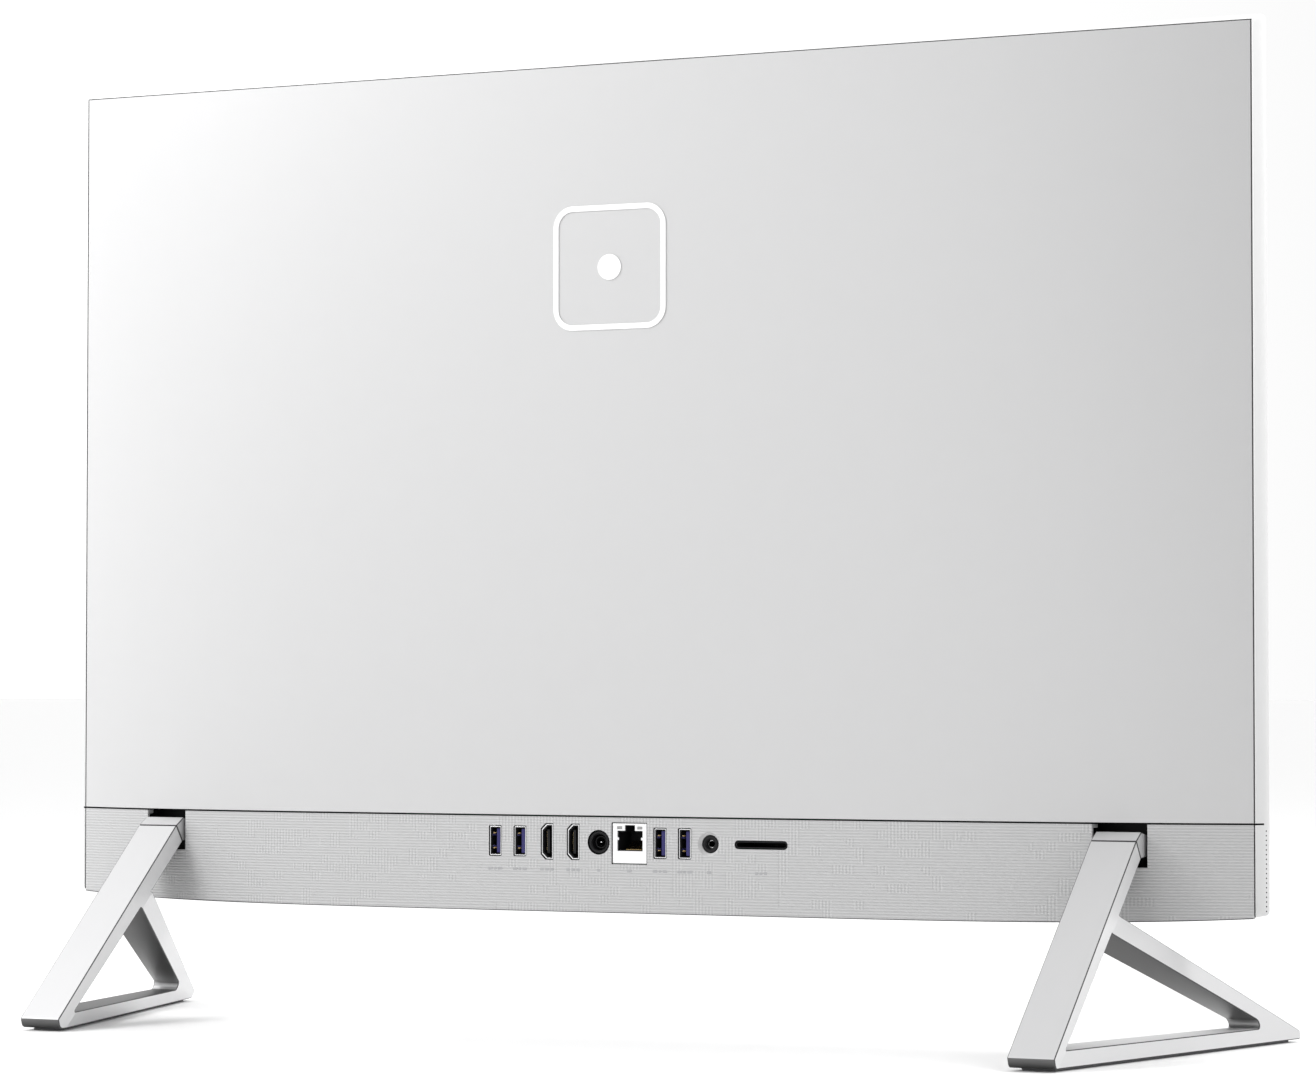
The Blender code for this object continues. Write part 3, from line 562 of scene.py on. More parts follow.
def rear_y(x):
    """Return where the bulged rear surface is at x."""
    share = min(abs(x) / COVER_HALF, 1.0)
    return COVER_EDGE_Y + BULGE * (1.0 - share ** BULGE_POWER)


def bulged_solid(half_width, front_y, inset, low, high):
    """Make a solid with the bulged rear face; low and high are (z, slope) pairs."""
    def level(pair, y):
        return pair[0] + pair[1] * (y - COVER_EDGE_Y)

    rings = []
    for i in range(STATIONS + 1):
        x = half_width * math.sin(math.pi * (i / STATIONS - 0.5))
        back = rear_y(x) - inset
        rings.append([(x, front_y, level(low, front_y)), (x, back, level(low, back)),
                      (x, back, level(high, back)), (x, front_y, level(high, front_y))])
    return lofted(rings)


def ribbed_solid(low_z, high_z):
    """Make the lower cover's block, with level ribs down its bulged rear face."""
    steps = round((high_z - RIB_MARGIN - low_z) / RIB_PITCH * RIB_STEPS)
    heights = [high_z - RIB_MARGIN - RIB_PITCH * k / RIB_STEPS for k in range(steps, -1, -1)]
    rings = []
    for i in range(STATIONS + 1):
        x = COVER_HALF * math.sin(math.pi * (i / STATIONS - 0.5))
        fade = min(1.0, (COVER_HALF - abs(x)) / RIB_FADE)
        ring = [(x, COVER_FRONT_Y, low_z), (x, rear_y(x), low_z)]
        for z in heights:
            wave = 0.5 - 0.5 * math.cos(math.tau * (high_z - RIB_MARGIN - z) / RIB_PITCH)
            ring.append((x, rear_y(x) - RIB_DEPTH * fade * wave, z))
        rings.append(ring + [(x, rear_y(x), high_z), (x, COVER_FRONT_Y, high_z)])
    return lofted(rings)


def rim_ring(y, swell, inset):
    """Return the frame's outline at one depth."""
    half = RIM_HIGH[0] - RIM_SIDE_FLARE * (1.0 - swell) - inset
    top = RIM_HIGH[2] - RIM_TOP_FLARE * (1.0 - swell) - inset
    bottom = CHIN_BOTTOM + 0.0004 + 0.0006 * swell + inset
    points = rounded_rectangle(half, (top - bottom) / 2.0, RIM_CORNER, (0.0, (top + bottom) / 2.0), 8)
    return [(x, y, z) for x, z in points]


def leg_lean(y, z):
    """Return how far ahead of the crease a point of a leg lies."""
    return max(0.0, CREASE_Z - CREASE_SLOPE * y - z)


def leg_solid(points, side, inset):
    """Extrude a side outline across a leg, keeping inset from both of its faces."""
    outer = []
    inner = []
    for y, z in points:
        lean = leg_lean(y, z)
        outer.append((side * (LEG_OUTER_X + LEG_OUTER_SPLAY * lean - inset), y, z))
        inner.append((side * (LEG_OUTER_X - LEG_WIDTH + LEG_INNER_SPLAY * lean + inset), y, z))
    shape = lofted([outer, inner])
    if CREASE_HEAD in points and CREASE_FOOT in points:
        shape.verts.ensure_lookup_table()
        shape.faces.ensure_lookup_table()
        ends = (points.index(CREASE_HEAD), points.index(CREASE_FOOT))
        for cap, first in ((shape.faces[-2], 0), (shape.faces[-1], len(points))):
            bmesh.utils.face_split(cap, shape.verts[first + ends[0]], shape.verts[first + ends[1]])
    return shape


# ---------------------------------------------------------------- pieces

def mesh_object(name, shape, look):
    """Turn a shape into an object with one material."""
    bmesh.ops.recalc_face_normals(shape, faces=shape.faces)
    bmesh.ops.translate(shape, verts=shape.verts, vec=(0.0, ORIGIN_SHIFT_Y, 0.0))
    mesh = bpy.data.meshes.new(name)
    shape.to_mesh(mesh)
    shape.free()
    mesh.materials.append(look)
    made = bpy.data.objects.new(name, mesh)
    bpy.context.scene.collection.objects.link(made)
    return made


def evaluated(made):
    """Replace an object's mesh by its evaluated one and drop its modifiers."""
    graph = bpy.context.evaluated_depsgraph_get()
    mesh = bpy.data.meshes.new_from_object(made.evaluated_get(graph))
    made.modifiers.clear()
    made.data = mesh


def combine(made, shape, operation, look=None):
    """Cut or add a shape; faces that a cut leaves take the cutter's material."""
    helper = mesh_object("helper", shape, look or made.data.materials[0])
    step = made.modifiers.new("combine", 'BOOLEAN')
    step.operation = operation
    step.solver = 'EXACT'
    step.object = helper
    step.material_mode = 'TRANSFER'
    evaluated(made)
    bpy.data.objects.remove(helper)


def bevelled(made, width, segments, look=None):
    """Round the sharp edges, then apply; the rounded edges may have their own material."""
    step = made.modifiers.new("edges", 'BEVEL')
    step.width = width
    step.segments = segments
    step.limit_method = 'ANGLE'
    step.angle_limit = math.radians(40.0)
    step.use_clamp_overlap = not look
    if look:
        made.data.materials.append(look)
        step.material = len(made.data.materials) - 1
    evaluated(made)


def smooth(made, angle):
    """Shade smooth, with sharp edges kept."""
    for face in made.data.polygons:
        face.use_smooth = True
    made.data.set_sharp_from_angle(angle=math.radians(angle))


def piece(name, shape, look, body="display", cuts=(), bevel=0.0, segments=3, nodes=(), slot="steel",
          edge_look=None, angle=32.0):
    """Make one finished piece: shape, cuts with their materials, soft edges, body and CAD nodes; slot is not
    used.
    """
    made = mesh_object(name, shape, look)
    for cutter, cut_look in cuts:
        combine(made, cutter, 'DIFFERENCE', cut_look)
    if bevel > 0.0:
        bevelled(made, bevel, segments, edge_look)
    smooth(made, angle)
    if bevel > 0.0:
        even = made.modifiers.new("even", 'WEIGHTED_NORMAL')
        even.keep_sharp = True
        evaluated(made)
    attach(made, body)
    if nodes:
        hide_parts(*nodes)
    return made


def make_upper_cover():
    """The smooth cover, open toward the screen."""
    low = (COVER_LOW[2] + SEAM_EASE, 0.0)
    outer = bulged_solid(COVER_HALF, COVER_FRONT_Y, 0.0, low, (COVER_TOP, TOP_SLOPE))
    inner = bulged_solid(COVER_HALF - 0.0045, COVER_FRONT_Y - 0.001, WALL, (low[0] - 0.01, 0.0),
                         (COVER_TOP - WALL, TOP_SLOPE))
    camera_low, camera_high = layout_box("camera_module")
    slot = box((camera_low[0] - 0.0005, camera_low[1] - 0.0003, 0.43),
               (camera_high[0] + 0.0005, camera_high[1] + 0.0003, 0.47))
    piece("upper_cover", outer, SILVER, cuts=((inner, BLACK), (slot, BLACK)), bevel=0.0006,
          nodes=("rear_cover",), slot="silver_plastic")


def hdmi_outline(x, grow):
    """Return the HDMI outline, chamfered on its +X side."""
    half_x, half_z, chamfer = HDMI_HALF[0] + grow, HDMI_HALF[1] + grow, HDMI_CHAMFER
    return [(x - half_x, PORT_Z - half_z), (x + half_x - chamfer, PORT_Z - half_z),
            (x + half_x, PORT_Z - half_z + chamfer), (x + half_x, PORT_Z + half_z - chamfer),
            (x + half_x - chamfer, PORT_Z + half_z), (x - half_x, PORT_Z + half_z)]


def port_cutters():
    """Return the openings of the port row."""
    outlines = []
    for number in range(1, 5):
        outlines.append(rounded_rectangle(*USB_OPENING, (middle_x(f"usb_port_{number}"), PORT_Z), 2))
    for number in range(1, 3):
        outlines.append(hdmi_outline(middle_x(f"hdmi_port_{number}"), HDMI_OPENING_GROW))
    outlines.append(circle((middle_x("power_inlet"), PORT_Z), INLET_OPENING_RADIUS))
    network = (middle_x("ethernet_port"), PORT_Z - NETWORK_OPENING_DROP)
    outlines.append(rounded_rectangle(*NETWORK_OPENING, network, 2))
    outlines.append(rounded_rectangle(*CARD_OPENING, (middle_x("sd_card_slot"), PORT_Z)))
    return joined([prism(outline, 'Y', OPENING_DEPTH_Y, 0.0) for outline in outlines])


def audio_dish():
    """Return the dished hole round the audio jack."""
    x = middle_x("audio_jack")
    face = rear_y(x)
    return lofted([[(a, y, c) for a, c in circle((x, PORT_Z), radius)] for radius, y in (
        (0.0042, -0.0180), (0.0042, face - AUDIO_RECESS), (0.0055, face - 0.0002), (0.0055, face + 0.004))])


def make_chin():
    """The ribbed, woven-looking lower cover with its pockets and port openings."""
    top = CHIN_TOP - SEAM_EASE
    under_y = (COVER_FRONT_Y - 0.01, 0.01)
    slope = [(y, CHIN_BOTTOM + BOTTOM_SLOPE * (y - COVER_EDGE_Y)) for y in under_y]
    underside = prism(slope + [(under_y[1], 0.03), (under_y[0], 0.03)], 'X', -0.4, 0.4)
    room = bulged_solid(COVER_HALF - 0.0045, COVER_FRONT_Y - 0.001, WALL, (CHIN_BOTTOM + WALL, BOTTOM_SLOPE),
                        (top - 0.0017, 0.0))
    lip_room = bulged_solid(0.2700, COVER_FRONT_Y - 0.001, 0.0075, (0.09, 0.0), (top + 0.01, 0.0))
    pockets = joined([box((side * BLOCK_MIDDLE - POCKET_HALF_WIDTH, COVER_FRONT_Y - 0.001, POCKET_BOTTOM),
                          (side * BLOCK_MIDDLE + POCKET_HALF_WIDTH, 0.0, 0.11)) for side in (-1.0, 1.0)])
    lips = joined([box((side * BLOCK_MIDDLE - LIP_HALF_WIDTH, COVER_FRONT_Y - 0.001, top - LIP_HEIGHT),
                       (side * BLOCK_MIDDLE + LIP_HALF_WIDTH, LIP_REAR_Y, 0.11)) for side in (-1.0, 1.0)])
    # Painted shade: the walls of the port openings are black, while the audio dish keeps the cover's silver.
    cuts = ((underside, SILVER), (room, BLACK), (lip_room, BLACK), (pockets, SILVER), (lips, BLACK),
            (port_cutters(), BLACK), (audio_dish(), SILVER))
    piece("chin_cover", ribbed_solid(0.0500, top), WOVEN, nodes=("lower_rear_cover",),
          slot="textured_plastic", cuts=cuts)


def make_edge_shade_line():
    """A fine dark strip of painted shade along the chin's lower edge."""
    rings = []
    for i in range(STATIONS + 1):
        x = (COVER_HALF - 0.0003) * math.sin(math.pi * (i / STATIONS - 0.5))
        back = rear_y(x) + EDGE_SHADE_LINE_PROUD
        low = CHIN_BOTTOM + BOTTOM_SLOPE * (back - COVER_EDGE_Y)
        rings.append([(x, back - 0.0006, low), (x, back, low), (x, back, low + EDGE_SHADE_LINE_HEIGHT),
                      (x, back - 0.0006, low + EDGE_SHADE_LINE_HEIGHT)])
    piece("chin_edge_shade_line", lofted(rings), EDGE_SHADE_LINE, slot="dark_plastic")


def make_marks():
    """Plain printed dashes below the ports, with no lettering."""
    marks = []
    widths = {"usb_port": (0.0022, 0.0012, 0.0022), "hdmi_port": (0.0018, 0.0018, 0.0018),
              "power_inlet": (0.0014,), "ethernet_port": (0.0024,), "audio_jack": (0.0020,),
              "sd_card_slot": (0.0014, 0.0014, 0.0014)}
    for name in PORT_NAMES:
        bars = widths[name.rstrip("_1234")]
        x = middle_x(name) - (sum(bars) + MARK_GAP * (len(bars) - 1)) / 2.0
        for bar in bars:
            face = rear_y(x + bar / 2.0)
            marks.append(box((x, face - 0.0004, MARK_Z - 0.0006), (x + bar, face + 0.00003, MARK_Z + 0.0006)))
            x += bar + MARK_GAP
    piece("port_marks", joined(marks), GREY_MARK, slot="steel")


def make_rim():
    """The front frame: swelling rim, seam notches, sound holes and screen opening."""
    rings = []
    for i in range(13):
        share = i / 12.0
        rings.append(rim_ring(RIM_REAR_Y + (RIM_FRONT_Y + 0.0008 - RIM_REAR_Y) * share,
                              math.sin(share * math.pi / 2.0), 0.0))
    rings.append(rim_ring(RIM_FRONT_Y + 0.0002, 1.0, 0.0002))
    rings.append(rim_ring(RIM_FRONT_Y, 1.0, 0.0006))
    seat = SEAT_GAP
    panel_low, panel_high = layout_box("display_panel")
    rebate_half = RIM_HIGH[0] - RIM_SIDE_FLARE - RIM_TIP
    rebate_top = RIM_HIGH[2] - RIM_TOP_FLARE - RIM_TIP / 2.0
    seam_z = (CHIN_TOP + COVER_LOW[2]) / 2.0
    windows = []
    notches = []
    dots = []
    for side in (-1.0, 1.0):
        windows.append(box((side * SOUND_X - SOUND_HALF_WIDTH, RIM_FRONT_Y - 0.001, SOUND_LOW_Z),
                           (side * SOUND_X + SOUND_HALF_WIDTH, RIM_REAR_Y, SOUND_HIGH_Z)))
        notches.append(box((side * NOTCH_X - NOTCH_HALF_WIDTH, RIM_REAR_Y - NOTCH_DEPTH,
                            seam_z - NOTCH_HALF_HEIGHT),
                           (side * NOTCH_X + NOTCH_HALF_WIDTH, RIM_REAR_Y + 0.001,
                            seam_z + NOTCH_HALF_HEIGHT)))
        for k in range(DOT_COUNT):
            dots.append(prism(circle((DOT_Y, DOT_Z + DOT_PITCH * k), DOT_RADIUS, 12), 'X',
                              side * DOT_X - DOT_REACH, side * DOT_X + DOT_REACH))
    button_low, button_high = layout_box("power_button")
    spot = ((button_low[0] + button_high[0]) / 2.0, (button_low[1] + button_high[1]) / 2.0)
    hole = rounded_rectangle(*BUTTON_HOLE, spot)
    cuts = (
        (box((GLASS_LOW[0] - seat, RIM_FRONT_Y - 0.002, GLASS_LOW[2] - seat),
             (GLASS_HIGH[0] + seat, GLASS_HIGH[1] + 0.0003, GLASS_HIGH[2] + seat)), BLACK),
        (box((panel_low[0] - seat, RIM_FRONT_Y - 0.001, panel_low[2] - seat),
             (panel_high[0] + seat, RIM_REAR_Y + 0.002, panel_high[2] + seat)), BLACK),
        (box((-rebate_half, FRAME_REAR_Y, 0.04), (rebate_half, RIM_REAR_Y + 0.002, rebate_top)), BLACK),
        (box((GRILLE_LOW[0] - CLOTH_GAP, RIM_FRONT_Y - 0.002, GRILLE_LOW[2] - CLOTH_GAP),
             (GRILLE_HIGH[0] + CLOTH_GAP, GRILLE_HIGH[1] + CLOTH_GAP, GRILLE_HIGH[2] + CLOTH_GAP)),
         RIM_SILVER_PAINTED_SHADE),
        (joined(windows), BLACK), (joined(notches), BLACK), (joined(dots), BLACK),
        (prism(hole, 'Z', 0.05, button_high[2] + BUTTON_HOLE_DEPTH), BLACK),
    )
    piece("rim", lofted(rings), RIM_SILVER_PAINTED_SHADE, cuts=cuts, nodes=("front_frame",), slot="silver_plastic")


def make_leg(side, label):
    """One leg, with painted shade on its edge bevels, heel, downward faces and window walls, and painted
    light on its side faces.
    """
    outline = rounded(
        [NECK_REAR, HEEL, HEEL_BOTTOM, CREASE_FOOT, TOE_BOTTOM, TOE_TOP, CREASE_HEAD, CROTCH, NECK_FRONT],
        [0.0, 0.0010, 0.0028, 0.0, 0.0014, 0.0012, 0.0, 0.0, 0.0])
    window = rounded(WINDOW, [0.0005, 0.0004, 0.0022], 8)
    leg = piece(f"easel_leg_{label}", leg_solid(outline, side, 0.0), ALUMINIUM, "stand",
                cuts=((leg_solid(window, side, -0.002), ALUMINIUM),), bevel=0.0004, segments=2,
                nodes=(f"leg_{label}",), slot="aluminium", edge_look=EDGE_SHADE_LINE, angle=CREASE_ANGLE)
    # Painted shade on the heel's rear faces near the floor.
    repaint(leg, HEEL_PAINTED_SHADE, lambda spot, normal: normal.y > 0.05 and normal.z < 0.60 and spot.z < HEEL[1])
    # Painted shade on the faces that turn downward.
    repaint(leg, PAINTED_SHADE_ALUMINIUM, lambda spot, normal: normal.z < -0.35 and spot.z > HEEL[1])
    # Painted shade on the window walls: on this leg its floor, on the other leg its front corner.
    if side > 0.0:
        repaint(leg, WINDOW_FLOOR_PAINTED_SHADE, lambda spot, normal: normal.z > 0.95 and spot.z < WINDOW[2][1] + 0.001)
    else:
        repaint(leg, PAINTED_SHADE_ALUMINIUM, lambda spot, normal: normal.y > 0.30 and spot.y < 0.8 * WINDOW[2][0])
    # Painted light: the side faces take the lighter aluminium.
    repaint(leg, SIDE_PAINTED_LIGHT_ALUMINIUM, lambda spot, normal: abs(normal.x) > 0.90)


def repaint(made, look, chosen):
    """Give the faces chosen by place and direction their own material."""
    made.data.materials.append(look)
    for face in made.data.polygons:
        look_now = made.data.materials[face.material_index]
        if look_now != EDGE_SHADE_LINE and chosen(face.center, face.normal):
            face.material_index = len(made.data.materials) - 1


def make_hinge_block(side, label):
    """The cap between a leg and its shaft."""
    middle = side * BLOCK_MIDDLE
    half = LEG_WIDTH / 2.0
    along = Vector((NECK_FRONT[1] - NECK_REAR[1], NECK_REAR[0] - NECK_FRONT[0])).normalized() * 0.0003
    rear = (NECK_REAR[0] + along.x, NECK_REAR[1] + along.y)
    front = (NECK_FRONT[0] + along.x, NECK_FRONT[1] + along.y)
    knuckle = [(PIVOT_Y + 0.0045 * math.cos(t), PIVOT_Z + 0.0045 * math.sin(t))
               for t in [math.radians(90.0 + 7.5 * k) for k in range(25)]]
    outline = knuckle + [front, rear, BLOCK_TOP]
    bore = prism(circle((PIVOT_Y, PIVOT_Z), 0.0023), 'X', middle - 0.02, middle + 0.02)
    # Its edge bevels carry painted shade.
    piece(f"hinge_cap_{label}", prism(outline, 'X', middle - half, middle + half), ALUMINIUM, "stand",
          cuts=((bore, STEEL),), bevel=0.0004, segments=2, nodes=(f"hinge_block_{label}",), slot="aluminium",
          edge_look=EDGE_SHADE_LINE)


def port_box(x, back, corners, z=0.0):
    """Make a box from corners counted from a port's middle and its rear face."""
    low, high = corners
    return box((x + low[0], back + low[1], PORT_Z + z + low[2]),
               (x + high[0], back + high[1], PORT_Z + z + high[2]))


def shifted(profile, back, x=0.0):
    """Move a profile to a rear face and, where it's given, to a port's middle."""
    return [(x + across, back + depth) for across, depth in profile]


def sleeve(name, outer, inner, look, back, depths, **facts):
    """Fill an outline and hollow it from the rear; depths are its front, its floor and its rear end."""
    front, floor, rear = depths
    hole = prism(inner, 'Y', back - floor, back + CUT_REACH)
    piece(name, prism(outer, 'Y', back - front, back - rear), look, cuts=((hole, look),), **facts)


def make_usb(number):
    """A USB port: plated shell, dark well, blue tongue, its contacts and two springs."""
    name = f"usb_port_{number}"
    x = middle_x(name)
    back = layout_box(name)[1][1]

    def outline(inset, radius):
        return rounded_rectangle(USB_HALF[0] - inset, USB_HALF[1] - inset, radius, (x, PORT_Z))

    sleeve(f"usb_shell_{number}", outline(0.0, USB_SHELL_RADIUS), outline(USB_SHELL_INSET, USB_INNER_RADIUS),
           CHROME, back, (0.0150, 0.0144, 0.0), bevel=FINE_EDGE, segments=2, nodes=(name,), slot="steel")
    sleeve(f"usb_well_{number}", outline(USB_WELL_INSET, USB_INNER_RADIUS),
           outline(USB_WELL_HOLE_INSET, USB_HOLE_RADIUS), BLACK, back, (0.0143, 0.0138, 0.0005),
           slot="dark_plastic")
    grooves = joined([port_box(x, back, USB_GROOVE, z) for z in USB_ROWS])
    piece(f"usb_tongue_{number}", port_box(x, back, USB_TONGUE), BLUE, cuts=((grooves, BLUE),),
          bevel=SMALL_EDGE, segments=2, slot="dark_plastic")
    contacts = joined([port_box(x, back, USB_CONTACT, z) for z in USB_ROWS])
    piece(f"usb_contacts_{number}", contacts, GOLD, slot="copper")
    leaf = shifted(USB_LEAF, back, x)
    springs = joined([prism(leaf, 'Z', PORT_Z + z - USB_SPRING_HALF, PORT_Z + z + USB_SPRING_HALF)
                      for z in USB_SPRING_ROWS])
    piece(f"usb_springs_{number}", springs, CHROME, slot="steel")


def make_hdmi(number):
    """An HDMI port: plated shell, dark well and a tongue with fine contacts."""
    name = f"hdmi_port_{number}"
    x = middle_x(name)
    back = layout_box(name)[1][1]
    sleeve(f"hdmi_shell_{number}", hdmi_outline(x, 0.0), hdmi_outline(x, -HDMI_SHELL_INSET), CHROME, back,
           (0.0130, 0.0125, 0.0), bevel=FINE_EDGE, segments=2, nodes=(name,), slot="steel")
    sleeve(f"hdmi_well_{number}", hdmi_outline(x, -HDMI_WELL_INSET), hdmi_outline(x, -HDMI_WELL_HOLE_INSET),
           BLACK, back, (0.0124, 0.0119, 0.0004), slot="dark_plastic")
    piece(f"hdmi_tongue_{number}", port_box(x, back, HDMI_TONGUE), BLACK, bevel=FINE_EDGE, segments=2,
          slot="dark_plastic")
    contacts = joined([port_box(x, back, HDMI_CONTACT, HDMI_CONTACT_PITCH * k) for k in range(-4, 5)])
    piece(f"hdmi_contacts_{number}", contacts, GOLD, slot="copper")


def make_power_inlet():
    """The round power inlet: black barrel, sleeve and centre pin."""
    x = middle_x("power_inlet")
    back = layout_box("power_inlet")[1][1]
    centre = (x, PORT_Z)
    piece("inlet_barrel", turned(shifted(INLET_BARREL, back), centre), BLACK, nodes=("power_inlet",),
          slot="dark_plastic")
    piece("inlet_sleeve", turned(shifted(INLET_RING, back), centre, 40), BLACK, slot="dark_plastic")
    piece("inlet_pin", turned(shifted(INLET_PIN, back), centre, 24), CHROME, slot="steel")


def network_outline(x, inset):
    """Return the plug opening with its latch notch at the top."""
    left, right, low, high = x - 0.0066 + inset, x + 0.0063 - inset, 0.0843 + inset, 0.0936 - inset
    notch_left, notch_right, top = x - 0.0027 + inset, x + 0.0024 - inset, 0.0962 - inset
    return [(left, low), (right, low), (right, high), (notch_right, high), (notch_right, top),
            (notch_left, top), (notch_left, high), (left, high)]


def make_ethernet():
    """The network port: pale plate, dark socket with its latch notch, lamp windows, wires and springs."""
    x = middle_x("ethernet_port")
    low, high = layout_box("ethernet_port")
    back = high[1]
    middle_z = (low[2] + high[2]) / 2.0
    socket = network_outline(x, 0.0)
    holes = [box((x + lamp - 0.0013, back - 0.0008, 0.0943), (x + lamp + 0.0013, back + CUT_REACH, 0.0956))
             for lamp in NETWORK_LAMPS]
    cuts = ((prism(socket, 'Y', back - 0.0145, back + CUT_REACH), PALE_PLATE), (joined(holes), PALE_PLATE))
    plate = rounded_rectangle(*NETWORK_PLATE, (x, middle_z))
    piece("network_plate", prism(plate, 'Y', back - 0.0150, back), PALE_PLATE, cuts=cuts,
          bevel=SMALL_EDGE, segments=2, nodes=("ethernet_port",), slot="steel")
    sleeve("network_socket", socket, network_outline(x, NETWORK_WALL), BLACK, back, (0.0144, 0.0140, 0.0006),
           slot="dark_plastic")
    lamps = [box((x + lamp - 0.0012, back - 0.0007, 0.0944), (x + lamp + 0.0012, back - 0.0002, 0.0955))
             for lamp in NETWORK_LAMPS]
    piece("network_lamps", joined(lamps), LAMP_WINDOW, slot="dark_glass")
    wire = [(back + depth, z) for depth, z in NETWORK_WIRE]
    wires = []
    for k in range(-4, 4):
        middle = x + NETWORK_WIRE_PITCH * k
        wires.append(prism(wire, 'X', middle - NETWORK_WIRE_HALF, middle + NETWORK_WIRE_HALF))
    piece("network_wires", joined(wires), GOLD, slot="copper")
    leaves = joined([box((x - 0.0066, back - 0.0006, 0.0893), (x - 0.0058, back - 0.0001, 0.0905)),
                     box((x + 0.0055, back - 0.0006, 0.0893), (x + 0.0063, back - 0.0001, 0.0905))])
    piece("network_springs", leaves, CHROME, slot="steel")


def make_audio():
    """The headset jack: black ring at the bottom of the dish, with a contact inside."""
    x = middle_x("audio_jack")
    back = rear_y(x) - AUDIO_RECESS + 0.0002
    centre = (x, PORT_Z)
    piece("jack_ring", turned(shifted(JACK_RING, back), centre), BLACK, nodes=("audio_jack",),
          slot="dark_plastic")
    piece("jack_contact", turned(shifted(JACK_CONTACT, back), centre, 32), CHROME, slot="steel")


def make_card_slot():
    """The card slot: a black sleeve with a long round-ended mouth."""
    centre = (middle_x("sd_card_slot"), PORT_Z)
    back = layout_box("sd_card_slot")[1][1]
    sleeve("card_sleeve", rounded_rectangle(*CARD_SLEEVE, centre, 10),
           rounded_rectangle(*CARD_MOUTH, centre, 10), BLACK, back, (0.0200, 0.0190, 0.0), bevel=HAIR_EDGE,
           segments=2, nodes=("sd_card_slot",), slot="dark_plastic")


def make_badge():
    """The plain badge: a rounded square line round a dot, both slightly domed at their edges."""
    low, high = layout_box("emblem_outline")
    centre = (0.0, (low[2] + high[2]) / 2.0)
    half = (high[0] - low[0]) / 2.0
    line = half - BADGE_INNER_HALF
    outer = rounded_rectangle(half, half, BADGE_CORNER, centre, 16)
    inner = rounded_rectangle(half - line, half - line, BADGE_CORNER - line, centre, 16)
    hole = prism(inner, 'Y', low[1] - CUT_REACH, high[1] + CUT_REACH)
    piece("badge_line", prism(outer, 'Y', low[1], high[1]), WHITE, cuts=((hole, WHITE),), bevel=HAIR_EDGE,
          segments=2, nodes=("emblem_outline",), slot="white_paint")
    dot_low, dot_high = layout_box("emblem_dot")
    radius = (dot_high[0] - dot_low[0]) / 2.0
    dome = [(0.00002, low[1]), (radius, low[1]), (radius, high[1] - HAIR_EDGE),
            (radius - HAIR_EDGE, high[1]), (0.00002, high[1])]
    piece("badge_dot", turned(dome, centre), WHITE, nodes=("emblem_dot",), slot="white_paint")


def make_camera_module():
    """The sliding camera: body, lens ring and glass that look past the screen's top edge."""
    low, high = layout_box("camera_module")
    middle = high[2] - LENS_DROP
    front, floor = low[1] - CUT_REACH, low[1] + LENS_SEAT_DEPTH
    seat = prism(circle((0.0, middle), LENS_SEAT_RADIUS, 40), 'Y', front, floor)
    ears = joined([prism(circle((side * EAR_X, middle), EAR_RADIUS, 16), 'Y', front, floor)
                   for side in (-1.0, 1.0)])
    piece("camera_body", box(low, high), BLACK, "camera", cuts=((seat, BLACK), (ears, BLACK)), bevel=0.0004,
          nodes=("camera_module",), slot="dark_plastic")
    piece("camera_lens_ring", turned(shifted(LENS_RING, low[1]), (0.0, middle)), STEEL, "camera",
          slot="steel")
    piece("camera_lens", turned(shifted(LENS_GLASS, low[1]), (0.0, middle)), LENS, "camera",
          slot="dark_glass")


def make_front():
    """The glass with its soft edges, and the cloth strip below it."""
    piece("screen_glass", box(GLASS_LOW, GLASS_HIGH), GLASS, bevel=0.0003, nodes=("cover_glass",),
          slot="dark_glass")
    piece("cloth_strip", box(GRILLE_LOW, GRILLE_HIGH), CLOTH, bevel=0.0002, segments=2,
          nodes=("speaker_grille",), slot="textured_plastic")


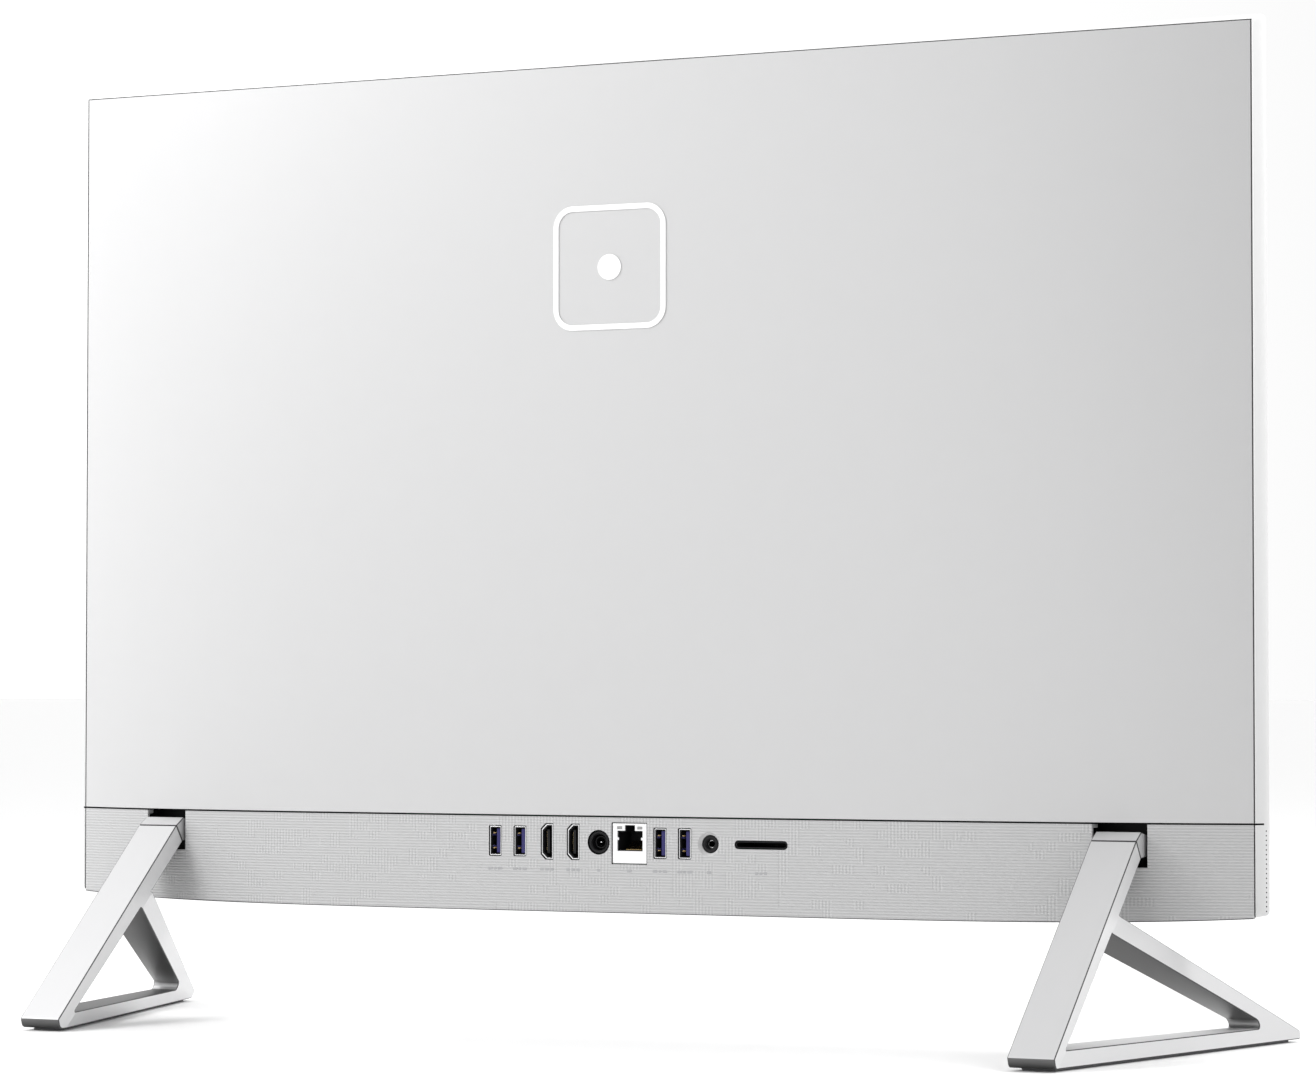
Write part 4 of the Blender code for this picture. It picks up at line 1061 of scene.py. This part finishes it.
def make_world():
    """White surroundings, brighter toward +X."""
    world = bpy.data.worlds.new("studio")
    bpy.context.scene.world = world
    world.use_nodes = True
    nodes = world.node_tree.nodes
    links = world.node_tree.links
    split = nodes.new("ShaderNodeSeparateXYZ")
    links.new(nodes.new("ShaderNodeTexCoord").outputs["Generated"], split.inputs[0])
    side = nodes.new("ShaderNodeMapRange")
    side.inputs["To Min"].default_value = WORLD_STRENGTH
    side.inputs["To Max"].default_value = WORLD_STRENGTH + SIDE_STRENGTH
    links.new(split.outputs[0], side.inputs["Value"])
    links.new(side.outputs[0], nodes["Background"].inputs["Strength"])
    nodes["Background"].inputs["Color"].default_value = (1.0, 1.0, 1.0, 1.0)


def add_light(name, spot, target, size, power):
    """Add one square softbox that faces a target."""
    data = bpy.data.lights.new(name, 'AREA')
    data.size = size
    data.energy = power
    light = bpy.data.objects.new(name, data)
    light.location = spot
    light.rotation_euler = (Vector(target) - Vector(spot)).to_track_quat('-Z', 'Y').to_euler()
    bpy.context.scene.collection.objects.link(light)


def make_stage():
    """Floor, light and camera."""
    slab = box((-FLOOR_HALF, -FLOOR_HALF, -0.01), (FLOOR_HALF, FLOOR_HALF, 0.0))
    pale = grained("studio_floor", (0.88, 0.88, 0.88), 0.6, scale=300.0, spread=0.004, strength=0.0)
    floor = mesh_object("floor", slab, pale)
    make_world()
    for light in SOFTBOXES:
        add_light(*light)
    sun = bpy.data.objects.new("sky_light", bpy.data.lights.new("sky_light", 'SUN'))
    sun.data.energy = SUN_STRENGTH
    sun.data.angle = math.radians(SUN_ANGLE)
    sun.rotation_euler = Vector(SUN_TARGET).to_track_quat('-Z', 'Y').to_euler()
    bpy.context.scene.collection.objects.link(sun)
    data = bpy.data.cameras.new("camera")
    data.lens = CAMERA_LENS
    data.sensor_width = CAMERA_SENSOR
    data.clip_start = 0.05
    camera = bpy.data.objects.new("camera", data)
    camera.location = CAMERA_SPOT
    camera.rotation_euler = [math.radians(part) for part in CAMERA_TURN]
    bpy.context.scene.collection.objects.link(camera)
    bpy.context.scene.camera = camera
    bpy.context.scene.view_settings.view_transform = 'Standard'


def main():
    """Dress the CAD nodes, make the pieces and set the stage."""
    for name, look in NODE_LOOKS.items():
        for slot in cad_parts[name].material_slots:
            slot.material = look
    make_upper_cover()
    make_chin()
    make_edge_shade_line()
    make_marks()
    make_rim()
    for side, label in ((-1.0, "left"), (1.0, "right")):
        make_leg(side, label)
        make_hinge_block(side, label)
    for number in range(1, 5):
        make_usb(number)
    for number in range(1, 3):
        make_hdmi(number)
    make_power_inlet()
    make_ethernet()
    make_audio()
    make_card_slot()
    make_badge()
    make_camera_module()
    make_front()
    make_stage()


main()
